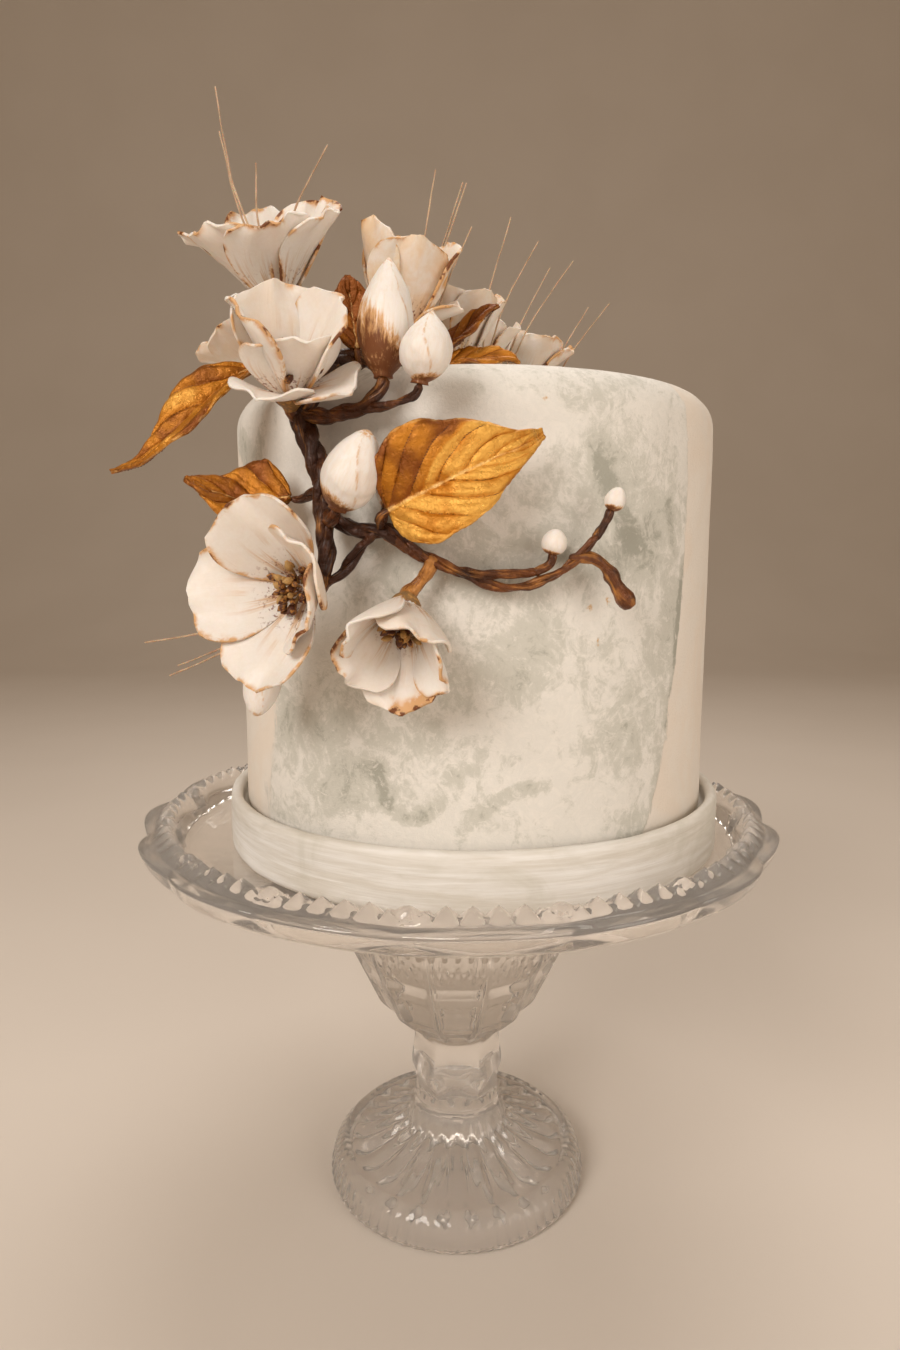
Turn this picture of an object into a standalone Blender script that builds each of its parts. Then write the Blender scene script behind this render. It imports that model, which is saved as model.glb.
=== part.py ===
"""Wedding cake with sugar magnolias, gilded leaves and a twisted branch, on a cut-glass pedestal stand.

Blender units are metres, +Z up. Sizes below are millimetres, and MM turns them into metres.
The origin is the centre of the foot's underside, and the front of the cake faces -Y.
"""

import math

import bmesh
import bpy
from mathutils import Matrix, Vector

MM = 0.001
TOUCH = 0.3  # gap left between two pieces that rest on each other
STAND_STEPS = 48  # three to a scallop, two to a flute
CAKE_STEPS = 36

# Stand: a pressed and cut glass pedestal
PLATE_TOP = 172.0
RIM_RADIUS = 141.5
RIM_TOP = 187.0
RIM_INNER = 131.0  # the scallops begin outside this radius
SCALLOPS = 16
SCALLOP_NOTCH = 4.0
NOTCH_ANGLE = math.radians(-7.6)  # from the front, towards +X
BOWL_PANELS = 12
BOWL_LOW, BOWL_HIGH = 76.0, 150.0
FLUTES = 24
FLUTE_INNER, FLUTE_OUTER = 23.0, 50.0
FLUTE_DEPTH = 1.4
STAND_PROFILE = [
    (0, PLATE_TOP), (119, PLATE_TOP), (123, 174), (127, 184), (130, RIM_TOP), (135, RIM_TOP - 4.5),
    (RIM_RADIUS, RIM_TOP - 6), (RIM_RADIUS - 1, RIM_TOP - 9), (138, 173), (124, 167),
    (70, 161), (60, 148), (51, 121), (36, 89), (23, 76.5), (20, 70),
    (22, 54), (19.5, 47), (24, 28), (33, 23.2), (51.5, 15.5), (54, 17),
    (59.5, 12), (61.5, 4), (60.5, 0), (0, 0),
]

# Cake on its covered drum
CAKE_X = 7.0  # the cake stands a little to the right of the stand's axis
CAKE_RADIUS = 101.5
CAKE_TOP = 362.0
CAKE_SHOULDER = 14.0
DRUM_RADIUS = 109.0
DRUM_RIM = 5.0
DRUM_TOP = 197.0
DRUM_FLOOR = 190.0
DRUM_BOTTOM = PLATE_TOP + TOUCH
CAKE_BOTTOM = DRUM_FLOOR + TOUCH

# Sugar work
PETAL_THICKNESS = 1.5
PETAL_FOOT = 0.22  # a petal's width at its base over its greatest width
WIDEST = 0.64  # where along a petal it is widest
LEAF_THICKNESS = 1.3
CORE_RADIUS = 5.0
CORE_RISE = 1.0  # the core's middle above the point where the petals meet
THIN = 2.2  # stems up to this radius are four-sided
STALK_RADIUS = 0.4

WHITE = (0.86, 0.79, 0.74)
CREAM = (0.80, 0.76, 0.68)
BARK = (0.09, 0.035, 0.018)
GOLD = (0.56, 0.27, 0.05)
FIBRE = (0.72, 0.60, 0.44)
GLASS = (0.93, 0.90, 0.87)

UP = Vector((0, 0, 1))


def clear_scene():
    for obj in list(bpy.data.objects):
        bpy.data.objects.remove(obj, do_unlink=True)


def new_collection(name):
    made = bpy.data.collections.new(name)
    bpy.context.scene.collection.children.link(made)
    return made


def material(name, colour, roughness, metallic=0.0, transmission=0.0):
    made = bpy.data.materials.new(name)
    made.use_nodes = True
    shader = made.node_tree.nodes["Principled BSDF"]
    shader.inputs["Base Color"].default_value = (*colour, 1.0)
    shader.inputs["Roughness"].default_value = roughness
    shader.inputs["Metallic"].default_value = metallic
    shader.inputs["Transmission Weight"].default_value = transmission
    return made


def add_object(name, data, collection, finish=None):
    obj = bpy.data.objects.new(name, data)
    collection.objects.link(obj)
    if finish is not None:
        data.materials.append(finish)
    return obj


def shade(obj):
    obj.data.shade_smooth()
    obj.data.set_sharp_from_angle(angle=math.radians(40))


def frozen(obj, weld=True):
    """The object's evaluated shape as a plain mesh in world space, with the object itself removed."""
    bpy.context.view_layer.update()
    graph = bpy.context.evaluated_depsgraph_get()
    mesh = bpy.data.meshes.new_from_object(obj.evaluated_get(graph))
    mesh.transform(obj.matrix_world)
    bpy.data.objects.remove(obj, do_unlink=True)
    if not weld:
        return mesh
    shape = bmesh.new()
    shape.from_mesh(mesh)
    bmesh.ops.remove_doubles(shape, verts=shape.verts, dist=0.00001)
    shape.to_mesh(mesh)
    shape.free()
    return mesh


def fused(name, base, others, collection, finish):
    """One solid of base and the objects of the collection others, which is then emptied."""
    union = base.modifiers.new("join", "BOOLEAN")
    union.operation = "UNION"
    union.operand_type = "COLLECTION"
    union.collection = others
    union.solver = "MANIFOLD"
    mesh = frozen(base, weld=False)
    for used in list(others.objects):
        bpy.data.objects.remove(used, do_unlink=True)
    bpy.data.collections.remove(others)
    mesh.materials.clear()
    obj = add_object(name, mesh, collection, finish)
    shade(obj)
    return obj


# Turned pieces


def turned(name, profile, collection, finish, steps):
    """A solid turned about Z from (radius, height) points that run down its outer side, top to bottom."""
    mesh = bpy.data.meshes.new(name)
    points = [(r * MM, 0.0, z * MM) for r, z in profile]
    mesh.from_pydata(points, [(i, i + 1) for i in range(len(points) - 1)], [])
    obj = add_object(name, mesh, collection, finish)
    screw = obj.modifiers.new("turn", "SCREW")
    screw.axis = "Z"
    screw.steps = screw.render_steps = steps
    screw.use_merge_vertices = True
    screw.merge_threshold = 0.0001
    screw.use_smooth_shade = True
    return obj


def corner(radius, height, rounding, count=4):
    """Points of a rounded outer top edge, from the flat top down to the wall."""
    turns = [math.radians(90 * i / count) for i in range(count + 1)]
    inner, low = radius - rounding, height - rounding
    return [(inner + rounding * math.sin(a), low + rounding * math.cos(a)) for a in turns]


def cut_glass(point):
    """Moves a point of the turned stand to the scalloped rim, the bowl's panels and the foot's flutes."""
    radius, height = math.hypot(point.x, point.y) / MM, point.z / MM
    angle = math.atan2(point.x, -point.y)
    scale, drop = 1.0, 0.0
    if radius > RIM_INNER:
        swing = abs(math.sin(SCALLOPS * (angle - NOTCH_ANGLE) / 2))
        depth = (1 - swing) * (radius - RIM_INNER) / (RIM_RADIUS - RIM_INNER)
        scale -= SCALLOP_NOTCH * depth / radius
        drop = 2.0 * depth
    elif BOWL_LOW < height < BOWL_HIGH:
        panel = 2 * math.pi / BOWL_PANELS
        scale = math.cos(panel / 2) / math.cos((angle + panel / 2) % panel - panel / 2)
    elif FLUTE_INNER < radius < FLUTE_OUTER and height < 30:
        drop = FLUTE_DEPTH * (0.5 - 0.5 * math.cos(FLUTES * angle))
    return Vector((point.x * scale, point.y * scale, point.z - drop * MM))


def build_stand(collection, finish):
    mesh = frozen(turned("stand_blank", STAND_PROFILE, collection, finish, STAND_STEPS))
    for vertex in mesh.vertices:
        vertex.co = cut_glass(vertex.co)
    obj = add_object("glass_stand", mesh, collection)
    shade(obj)


def build_cake(collection, icing):
    drum = [(0, DRUM_FLOOR), (DRUM_RADIUS - DRUM_RIM, DRUM_FLOOR), (DRUM_RADIUS - DRUM_RIM, DRUM_TOP - 1.5)]
    drum += corner(DRUM_RADIUS, DRUM_TOP, 2.5, 2)
    drum += [(DRUM_RADIUS, DRUM_BOTTOM + 2), (DRUM_RADIUS - 1.5, DRUM_BOTTOM), (0, DRUM_BOTTOM)]
    cake = [(0, CAKE_TOP)] + corner(CAKE_RADIUS, CAKE_TOP, CAKE_SHOULDER, 4)
    cake += [(CAKE_RADIUS, CAKE_BOTTOM + 2), (CAKE_RADIUS - 1.5, CAKE_BOTTOM), (0, CAKE_BOTTOM)]
    for name, profile in (("cake_drum", drum), ("cake", cake)):
        turned(name, profile, collection, icing, CAKE_STEPS).location.x = CAKE_X * MM


# Flowers


def petal_point(along, across, p):
    """A point of a petal, in millimetres, where +Z is the flower's axis and the petal leans to +X.

    along runs from 0 at the base to 1 at the tip, and across from -1 to 1.
    """
    along *= 1 - p["tip"] * across * across
    steps = 12
    radius, height, lean = p["start"], 0.0, 0.0
    for i in range(steps):
        s = along * (i + 0.5) / steps
        curl = p["curl"] * max(0.0, s - 0.7) / 0.3
        lean = math.radians(p["open"][0] + (p["open"][1] - p["open"][0]) * s + curl)
        radius += p["length"] * along / steps * math.sin(lean)
        height += p["length"] * along / steps * math.cos(lean)
    if along < WIDEST:
        outline = PETAL_FOOT + (1 - PETAL_FOOT) * math.sin(math.pi / 2 * along / WIDEST) ** 1.3
    else:
        outline = math.sqrt(1 - (1 - p["blunt"] ** 2) * ((along - WIDEST) / (1 - WIDEST)) ** 2)
    bend = across * outline / (2 * p["cup"])
    side = p["width"] * p["cup"] * math.sin(bend)
    inward = p["width"] * p["cup"] * (1 - math.cos(bend))
    inward += p["ruffle"] * along * along * math.sin(p["wave"] + 4.3 * across)
    inward += p["shingle"] * (0.5 + 0.5 * along) * across
    return Vector((radius - math.cos(lean) * inward, side, height + math.sin(lean) * inward))


# A petal's length, width and ruffle are millimetres; it opens from one lean to another, in degrees off the
# flower's axis. Its cup is the radius of its cross-section over its width. Shingle lifts one edge over the
# next petal.
PETAL = {"length": 40, "width": 34, "open": (20, 50), "curl": 0, "cup": 0.7, "tip": 0.12, "blunt": 0.45}
PETAL.update({"start": 2.5, "ruffle": 1.2, "wave": 0.0, "shingle": 2.0, "turn": 0})


def add_petal(settings, rows, columns, frame, collection):
    p = {**PETAL, **settings}
    shape = bmesh.new()
    bmesh.ops.create_grid(shape, x_segments=columns, y_segments=rows, size=1)
    for vertex in shape.verts:
        along = math.sin(math.pi / 2 * (vertex.co.y + 1) / 2)
        vertex.co = petal_point(along, vertex.co.x, p) * MM
    bmesh.ops.triangulate(shape, faces=shape.faces)
    shape.transform(frame @ Matrix.Rotation(math.radians(p["turn"]), 4, "Z"))
    mesh = bpy.data.meshes.new("petal")
    shape.to_mesh(mesh)
    shape.free()
    petal = add_object("petal", mesh, collection)
    skin = petal.modifiers.new("thickness", "SOLIDIFY")
    skin.thickness = PETAL_THICKNESS * MM
    skin.offset = 0


def frame_at(base, axis):
    """A matrix whose +Z is axis, whose +X points to the right and whose +Y points up, seen from the tip."""
    z = Vector(axis).normalized()
    y = UP - z * UP.dot(z)
    if y.length < 0.3:
        y = Vector((0, 1, 0)) - z * z.y
    y.normalize()
    x = y.cross(z)
    turn = Matrix((x, y, z)).transposed().to_4x4()
    return Matrix.Translation(Vector(base) * MM) @ turn


def ring(count, first, **settings):
    """Petals spaced evenly round the flower, whose waves differ."""
    return [{"turn": first + 360 * i / count, "wave": 1.7 * i, **settings} for i in range(count)]


# Each flower has the point where its petals meet, the direction that it faces and its petals.
NEAR, FAR = (3, 4), (2, 3)  # rows and columns of faces in a petal
FLOWERS = {
    "flower_open_left": {
        "base": (-49, -112, 287), "axis": (-0.47, -0.88, 0.04), "grid": NEAR,
        "petals": [
            {"turn": 110, "length": 36, "width": 35, "open": (44, 46), "cup": 1.0},
            {"turn": 184, "length": 37, "width": 33, "open": (50, 66), "cup": 1.0, "wave": 1.9},
            {"turn": 256, "length": 36, "width": 35, "open": (50, 60), "cup": 1.0, "wave": 3.0},
            {"turn": 330, "length": 31, "width": 31, "open": (44, 26), "cup": 0.8, "wave": 4.1},
            {"turn": 34, "length": 32, "width": 32, "open": (44, 28), "cup": 0.8, "wave": 5.2},
        ],
    },
    "flower_hanging": {
        "base": (-18, -113, 281), "axis": (-0.10, -0.76, -0.64), "grid": NEAR,
        "petals": [
            {"turn": 132, "length": 30, "width": 29, "open": (44, 20), "cup": 0.62},
            {"turn": 48, "length": 30, "width": 28, "open": (42, 16), "cup": 0.62, "wave": 1.8},
            {"turn": 204, "length": 30, "width": 26, "open": (38, 28), "wave": 2.7},
            {"turn": 268, "length": 33, "width": 29, "open": (40, 32), "wave": 3.9},
            {"turn": 336, "length": 32, "width": 26, "open": (34, 22), "wave": 5.1, "blunt": 0.3},
        ],
    },
    "flower_tulip": {
        "base": (-56, -98, 351), "axis": (0.12, -0.60, 0.79), "grid": NEAR,
        "petals": [
            {"turn": 105, "length": 33, "width": 36, "open": (28, 26), "wave": 0.5},
            {"turn": 188, "length": 34, "width": 33, "open": (26, 28), "wave": 1.6},
            {"turn": 270, "length": 26, "width": 34, "open": (26, 20), "wave": 2.2},
            {"turn": 8, "length": 34, "width": 33, "open": (26, 24), "wave": 2.8},
            {"turn": 240, "length": 19, "width": 30, "open": (68, 66), "cup": 1.0, "wave": 4.0},
            {"turn": 320, "length": 25, "width": 27, "open": (70, 58), "cup": 1.0, "wave": 5.0},
        ],
    },
    "flower_top_left": {
        "base": (-66, -62, 389), "axis": (-0.10, -0.34, 0.93), "grid": NEAR,
        "petals": [
            {"turn": 170, "length": 43, "width": 26, "open": (46, 60), "blunt": 0.2, "curl": 20},
            {"turn": 112, "length": 39, "width": 34, "open": (39, 40), "wave": 1.4},
            {"turn": 55, "length": 40, "width": 34, "open": (38, 40), "wave": 2.6},
            {"turn": 358, "length": 37, "width": 33, "open": (38, 48), "wave": 3.6},
            {"turn": 300, "length": 35, "width": 34, "open": (38, 46), "wave": 4.8},
            {"turn": 236, "length": 35, "width": 34, "open": (38, 46), "wave": 5.6},
        ],
    },
    "flower_top_centre": {
        "base": (-23, -60, 378), "axis": (0.16, -0.12, 0.98), "grid": NEAR,
        "petals": [
            {"turn": 200, "length": 39, "width": 29, "open": (30, 10), "blunt": 0.25},
            {"turn": 110, "length": 38, "width": 32, "open": (26, 18), "wave": 1.3},
            {"turn": 25, "length": 38, "width": 32, "open": (30, 14), "wave": 2.4},
            {"turn": 285, "length": 34, "width": 32, "open": (30, 14), "wave": 3.5},
            {"turn": 345, "length": 24, "width": 20, "open": (60, 60), "wave": 4.4},
        ],
    },
    "flower_behind_left": {
        "base": (-73, -32, 371), "axis": (-0.55, -0.16, 0.82), "grid": FAR,
        "petals": ring(5, 185, length=30, width=26, open=(48, 38)),
    },
    "flower_back_a": {
        "base": (-1, -21, 374.5), "axis": (0.12, -0.12, 0.98), "grid": FAR,
        "petals": ring(5, 90, length=32, width=24, open=(28, 20)),
    },
    "flower_back_b": {
        "base": (7.5, 12.5, 374), "axis": (0.14, -0.10, 0.98), "grid": FAR,
        "petals": ring(5, 60, length=30, width=23, open=(28, 28)),
    },
    "flower_back_c": {
        "base": (30, 44, 374), "axis": (0.20, -0.05, 0.97), "grid": FAR,
        "petals": ring(5, 75, length=32, width=27, open=(30, 40)),
    },
    "flower_back_d": {
        "base": (-4, 58, 373), "axis": (-0.12, 0.42, 0.9), "grid": FAR,
        "petals": ring(5, 20, length=31, width=27, open=(34, 44)),
    },
}


def build_flower(name, flower, collection, finish):
    frame = frame_at(flower["base"], flower["axis"])
    others = new_collection(name + "_petals")
    rows, columns = flower["grid"]
    for settings in flower["petals"]:
        add_petal(settings, rows, columns, frame, others)
    shape = bmesh.new()
    bmesh.ops.create_uvsphere(shape, u_segments=6, v_segments=4, radius=CORE_RADIUS * MM)
    shape.transform(frame @ Matrix.Translation((0, 0, CORE_RISE * MM)))
    mesh = bpy.data.meshes.new(name)
    shape.to_mesh(mesh)
    shape.free()
    fused(name, add_object(name + "_core", mesh, collection), others, collection, finish)


# Buds


# Each bud has its base, the direction of its tip, its length and its diameter, and how blunt its tip is.
BUDS = {
    "bud_tall": ((-24.6, -106, 354), (0.06, 0.02, 1.0), 37, 18, 0.75),
    "bud_small": ((-12.7, -115.2, 350.5), (0.2, -0.12, 0.97), 22, 16.5, 0.9),
    "bud_centre": ((-39.4, -112, 312.5), (0.40, -0.25, 0.85), 27, 18.5, 0.6),
    "bud_hidden": ((-24.5, -103.5, 313), (0.16, -0.02, 1.0), 26, 10, 0.6),
    "bud_below": ((-66, -96, 263), (-0.22, -0.1, -0.96), 21, 13, 0.5),
    "bud_twig_near": ((30.5, -106.5, 298), (0.1, -0.1, 1.0), 8.5, 8.5, 0.5),
    "bud_twig_far": ((49.8, -103, 312.4), (0.35, -0.1, 0.92), 8, 7, 0.5),
    "bud_back": ((50, 66, 368), (0.5, 0.6, 0.62), 22, 13, 0.6),
}
BUD_STEPS = 7
BUD_LEVELS = (1, 0.88, 0.66, 0.4, 0.16, 0)


def bud_radius(level, bluntness):
    """Half the bud's width over its greatest half width, at a level from 0 at the base to 1 at the tip."""
    return 0.35 * (1 - level) ** 4 + math.sin(math.pi * level**0.8) ** bluntness


def build_bud(name, base, direction, length, width, bluntness, collection, finish):
    profile = [(bud_radius(level, bluntness) * width / 2, level * length) for level in BUD_LEVELS]
    profile[0] = (0, length)
    bud = turned(name, profile + [(0, 0)], collection, finish, BUD_STEPS)
    bud.matrix_world = frame_at(base, direction)


# Leaves


def leaf_point(along, across, p):
    """A point of a leaf, in millimetres, where +X runs from its base and +Z is its upper face."""
    steps = 12
    x, z, slope = 0.0, 0.0, 0.0
    for i in range(steps):
        s = along * (i + 0.5) / steps
        slope = math.radians(p["bend"][0] + (p["bend"][1] - p["bend"][0]) * s)
        x += p["length"] * along / steps * math.cos(slope)
        z += p["length"] * along / steps * math.sin(slope)
    outline = 0.10 + 0.90 * math.sin(math.pi * along**p["fullness"]) ** (0.8 + p["point"] * along)
    reach = across * outline * p["width"] / 2 * (1 + p["lopsided"] * (1 if across > 0 else -1))
    fold = math.radians(p["fold"])
    phase = 1.1 if across > 0 else 0
    wave = p["wave"] * outline * math.sin(p["waves"] * math.pi * along + phase) * across**2
    side = reach * math.cos(fold)
    lift = abs(reach) * math.sin(fold) + wave
    twist = math.radians(p["twist"] * along)
    y = side * math.cos(twist) - lift * math.sin(twist)
    up = side * math.sin(twist) + lift * math.cos(twist)
    y += p["bow"] * math.sin(math.pi * along ** p["late"])
    return Vector((x - up * math.sin(slope), y, z + up * math.cos(slope)))


LEAF = {"length": 50, "width": 30, "bend": (10, -30), "fullness": 0.8, "fold": 18, "twist": 0, "wave": 1.5}
LEAF.update({"waves": 2.5, "lopsided": 0.0, "bow": 0.0, "late": 1.0, "point": 0.3, "rows": 4})

# Each leaf has its base, the direction of its tip, the direction that its upper face looks, and its shape.
LEAVES = {
    "leaf_front": (
        (-22.4, -114.5, 312), (0.90, 0.02, 0.42), (0.08, -0.98, 0.1),
        {"length": 57, "width": 38, "bend": (26, -34), "fold": 16, "fullness": 0.55, "lopsided": 0.1,
         "point": 1.0, "rows": 8},
    ),
    "leaf_left": (
        (-73, -77, 362), (-0.78, -0.12, -0.56), (-0.30, -0.85, 0.42),
        {"length": 62, "width": 25, "bend": (10, -20), "fold": 28, "twist": 24, "fullness": 0.8, "bow": 6,
         "late": 1.7, "point": 1.4, "rows": 7},
    ),
    "leaf_behind_flower": (
        (-58, -90, 317), (-0.95, -0.12, 0.10), (0.05, -0.75, 0.66),
        {"length": 38, "width": 28, "bend": (-30, 42), "fold": 20, "fullness": 0.6, "wave": 3.5, "waves": 2},
    ),
    "leaf_dark": (
        (-36, -78, 369), (-0.12, 0.05, 0.99), (0.3, -0.95, 0.1),
        {"length": 25, "width": 20, "bend": (-8, 10), "fold": 14},
    ),
    "leaf_top_a": (
        (-7, -42, 371), (0.70, -0.1, 0.70), (-0.6, -0.5, 0.6),
        {"length": 31, "width": 17, "bend": (4, -8), "fold": 26},
    ),
    "leaf_top_b": (
        (-5, -50, 367), (0.96, -0.05, 0.18), (-0.1, -0.6, 0.8),
        {"length": 29, "width": 15, "bend": (14, -26), "fold": 24},
    ),
    "leaf_back": (
        (52, 42, 369), (0.78, 0.42, 0.2), (-0.15, 0.1, 0.98),
        {"length": 38, "width": 22, "bend": (22, -34), "fold": 20},
    ),
    "leaf_back_left": (
        (-20, 54, 368.5), (-0.78, 0.5, 0.22), (0.1, 0.1, 0.98),
        {"length": 42, "width": 24, "bend": (20, -30), "fold": 20},
    ),
}
LEAF_COLUMNS = 4


def leaf_frame(base, direction, face):
    x = Vector(direction).normalized()
    z = (Vector(face) - x * Vector(face).dot(x)).normalized()
    return Matrix.Translation(Vector(base) * MM) @ Matrix((x, z.cross(x), z)).transposed().to_4x4()


def build_leaf(name, base, direction, face, settings, collection, finish):
    p = {**LEAF, **settings}
    shape = bmesh.new()
    bmesh.ops.create_grid(shape, x_segments=p["rows"], y_segments=LEAF_COLUMNS, size=1)
    for vertex in shape.verts:
        vertex.co = leaf_point((vertex.co.x + 1) / 2, vertex.co.y, p) * MM
    bmesh.ops.triangulate(shape, faces=shape.faces)
    shape.transform(leaf_frame(base, direction, face))
    mesh = bpy.data.meshes.new(name)
    shape.to_mesh(mesh)
    shape.free()
    leaf = add_object(name, mesh, collection, finish)
    skin = leaf.modifiers.new("thickness", "SOLIDIFY")
    skin.thickness = LEAF_THICKNESS * MM
    skin.offset = 0
    shade(leaf)


# Branch


def add_tube(name, points, radii, collection, resolution):
    """A tube along points given in metres, whose radius follows radii in metres."""
    curve = bpy.data.curves.new(name, "CURVE")
    curve.dimensions = "3D"
    curve.bevel_depth = 1.0
    curve.bevel_resolution = resolution
    curve.use_fill_caps = True
    spline = curve.splines.new("POLY")
    spline.points.add(len(points) - 1)
    for point, place, radius in zip(spline.points, points, radii):
        point.co = (*place, 1)
        point.radius = radius
    return add_object(name, curve, collection)


def as_mesh(curve, collection):
    name = curve.name
    return add_object(name, frozen(curve), collection)


# Each stretch has its radius at both ends and the points that it runs through.
HUB = (-54, -91, 344)
BRANCH = {
    "main": (4.2, 2.6, [HUB, (-50, -95, 334), (-46, -97, 323), (-46, -99, 312), (-44, -103, 298),
                        (-45, -104, 291)]),
    "link": (2.6, 2.6, [(-46, -98, 317), (-41, -101, 309), (-34, -105, 306), (-25, -107, 306),
                        (-18, -107, 303)]),
    "lower": (2.2, 2.0, [(-28, -107, 306), (-34, -104, 299), (-39, -103, 292), (-45, -104, 288)]),
    "twig_upper": (2.4, 1.5, [(-25, -107, 306), (-15, -107, 299), (-7, -108.5, 295), (3, -108, 291.5),
                              (13, -108, 291.5), (25, -106.8, 292.4)]),
    "twig_lower": (1.9, 1.7, [(-4, -107.5, 294), (7, -108, 289), (15, -107.5, 287), (23, -107, 288),
                              (33, -106, 292), (40, -105.5, 298), (45, -104.5, 304)]),
    "lobe": (1.6, 3.0, [(37, -105.5, 297), (44, -105, 297.5), (49, -105, 293), (53, -104, 287),
                        (56, -103.5, 282)]),
    "over_top": (3.4, 2.6, [HUB, (-45, -87.9, 361.2), (-38, -75.3, 367.2), (-24, -60, 366), (-6, -38, 365.3),
                            (12, 13, 365.2), (30, 39, 365.2), (43, 56, 365.2)]),
    "peg_hub": (2.2, 2.2, [(-25, -107, 306), (-23.4, -97.2, 306)]),
}

# Stems that end just short of the piece they are named for.
STEMS = {
    "flower_open_left": (2.6, 2.0, [(-45, -103, 294)]),
    "flower_hanging": (2.0, 2.2, [(-9, -108.5, 296), (-12, -107.5, 290)]),
    "flower_tulip": (3.0, 2.0, [HUB]),
    "flower_top_left": (2.2, 1.8, [(-42, -81, 364.2), (-52, -70, 367.5), (-62, -62, 375)]),
    "flower_top_centre": (2.2, 1.8, [(-25, -60, 366)]),
    "flower_behind_left": (2.0, 1.6, [(-50, -73, 367), (-60, -45, 365.2)]),
    "flower_back_a": (2.0, 1.8, [(-2, -27, 365.3)]),
    "flower_back_b": (2.0, 1.8, [(10, 7, 365.2)]),
    "flower_back_c": (2.0, 1.8, [(30, 39, 365.2)]),
    "flower_back_d": (2.2, 1.8, [(13, 15, 365.2), (-2, 46, 365.2)]),
    "bud_tall": (2.8, 2.2, [HUB, (-43, -98, 343.5), (-32, -103, 345)]),
    "bud_small": (1.8, 1.4, [(-32, -103, 345), (-22.5, -109, 345.2)]),
    "bud_centre": (2.2, 2.0, [(-45.5, -99, 312), (-43, -106, 308.5)]),
    "bud_hidden": (1.6, 1.4, [(-27, -106, 306)]),
    "bud_below": (1.8, 1.4, [(-45, -104, 290), (-52, -101, 279)]),
    "bud_twig_near": (1.5, 1.5, [(25, -106.8, 292.4)]),
    "bud_twig_far": (1.7, 1.5, [(45, -104.5, 304)]),
    "bud_back": (2.2, 1.6, [(43, 56, 365.2)]),
    "leaf_front": (1.8, 1.4, [(-26, -107, 306)]),
    "leaf_left": (2.6, 1.4, [HUB, (-62, -86, 352)]),
    "leaf_behind_flower": (1.8, 1.4, [(-47, -97, 320)]),
    "leaf_dark": (1.4, 1.2, [(-36, -74, 364.8)]),
    "leaf_top_a": (1.4, 1.2, [(-10, -43, 365.3)]),
    "leaf_top_b": (1.4, 1.2, [(-18, -52, 365.8)]),
    "leaf_back": (1.6, 1.3, [(32, 41, 365.2)]),
    "leaf_back_left": (1.6, 1.3, [(-2, 46, 365.2)]),
}
STEM_TIP = 3.0  # the straight end of a stem, in line with what it carries


def stem_end(name):
    """The last two points of the stem that carries a flower, bud or leaf, in metres."""
    if name in FLOWERS:
        frame = frame_at(FLOWERS[name]["base"], FLOWERS[name]["axis"])
        reach, along = CORE_RADIUS - CORE_RISE + TOUCH, Vector((0, 0, -1))
    elif name in BUDS:
        frame = frame_at(*BUDS[name][:2])
        reach, along = TOUCH, Vector((0, 0, -1))
    else:
        frame = leaf_frame(*LEAVES[name][:3])
        reach, along = 2 * TOUCH, Vector((-1, 0, 0))
    return [frame @ (along * (reach + STEM_TIP) * MM), frame @ (along * reach * MM)]


def add_stretch(name, first, last, places, collection):
    count = len(places) - 1
    radii = [(first + (last - first) * i / count) * MM for i in range(count + 1)]
    return as_mesh(add_tube(name, places, radii, collection, 1 if first > THIN else 0), collection)


def build_branch(collection, finish):
    others = new_collection("branch_stretches")
    stretches = []
    for name, (first, last, points) in {**BRANCH, **STEMS}.items():
        places = [Vector(point) * MM for point in points]
        if name in STEMS:
            places += stem_end(name)
        stretches.append(add_stretch(name, first, last, places, others))
    base = stretches[0]
    others.objects.unlink(base)
    collection.objects.link(base)
    fused("branch", base, others, collection, finish)


# Dried stalks: fine pale fibres, in bunches


# Each bunch has the point that its stalks rise from and their tips.
STALKS = {
    "stalks_top_left": ((-66.6, -64.1, 395.1), [(-89, -50, 467), (-88, -50, 452), (-75, -50, 441),
                                                (-48, -53, 446)]),
    "stalks_top_centre": ((-12, -45, 369), [(-9, -41, 442), (1.6, -38, 439), (3, -40, 438), (5, -40, 422)]),
    "stalks_middle": ((10, -12, 368.6), [(22, -10, 436), (34, -3, 429)]),
    "stalks_back": ((19, 22, 368.4), [(52, 20, 428), (42, 22, 426)]),
    "stalks_end": ((43, 56, 368.4), [(74, 50, 418), (66, 64, 420)]),
    "stalks_left": ((-48.9, -107.3, 285.9), [(-105, -106, 269), (-97, -107, 258), (-95, -104, 261)]),
}


def build_stalks(name, root, tips, collection, finish):
    """A bunch of stalks that each bow a little on their way from the root."""
    others = new_collection(name + "_tubes")
    tubes = []
    for tip in tips:
        start, end = Vector(root) * MM, Vector(tip) * MM
        bow = (end - start).cross(Vector((0, 1, 0))) * 0.05
        points = [start, start.lerp(end, 0.5) + bow, end]
        tubes.append(as_mesh(add_tube(name + "_tube", points, [STALK_RADIUS * MM] * 3, others, 0), others))
    base = tubes[0]
    others.objects.unlink(base)
    collection.objects.link(base)
    fused(name, base, others, collection, finish)


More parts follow.
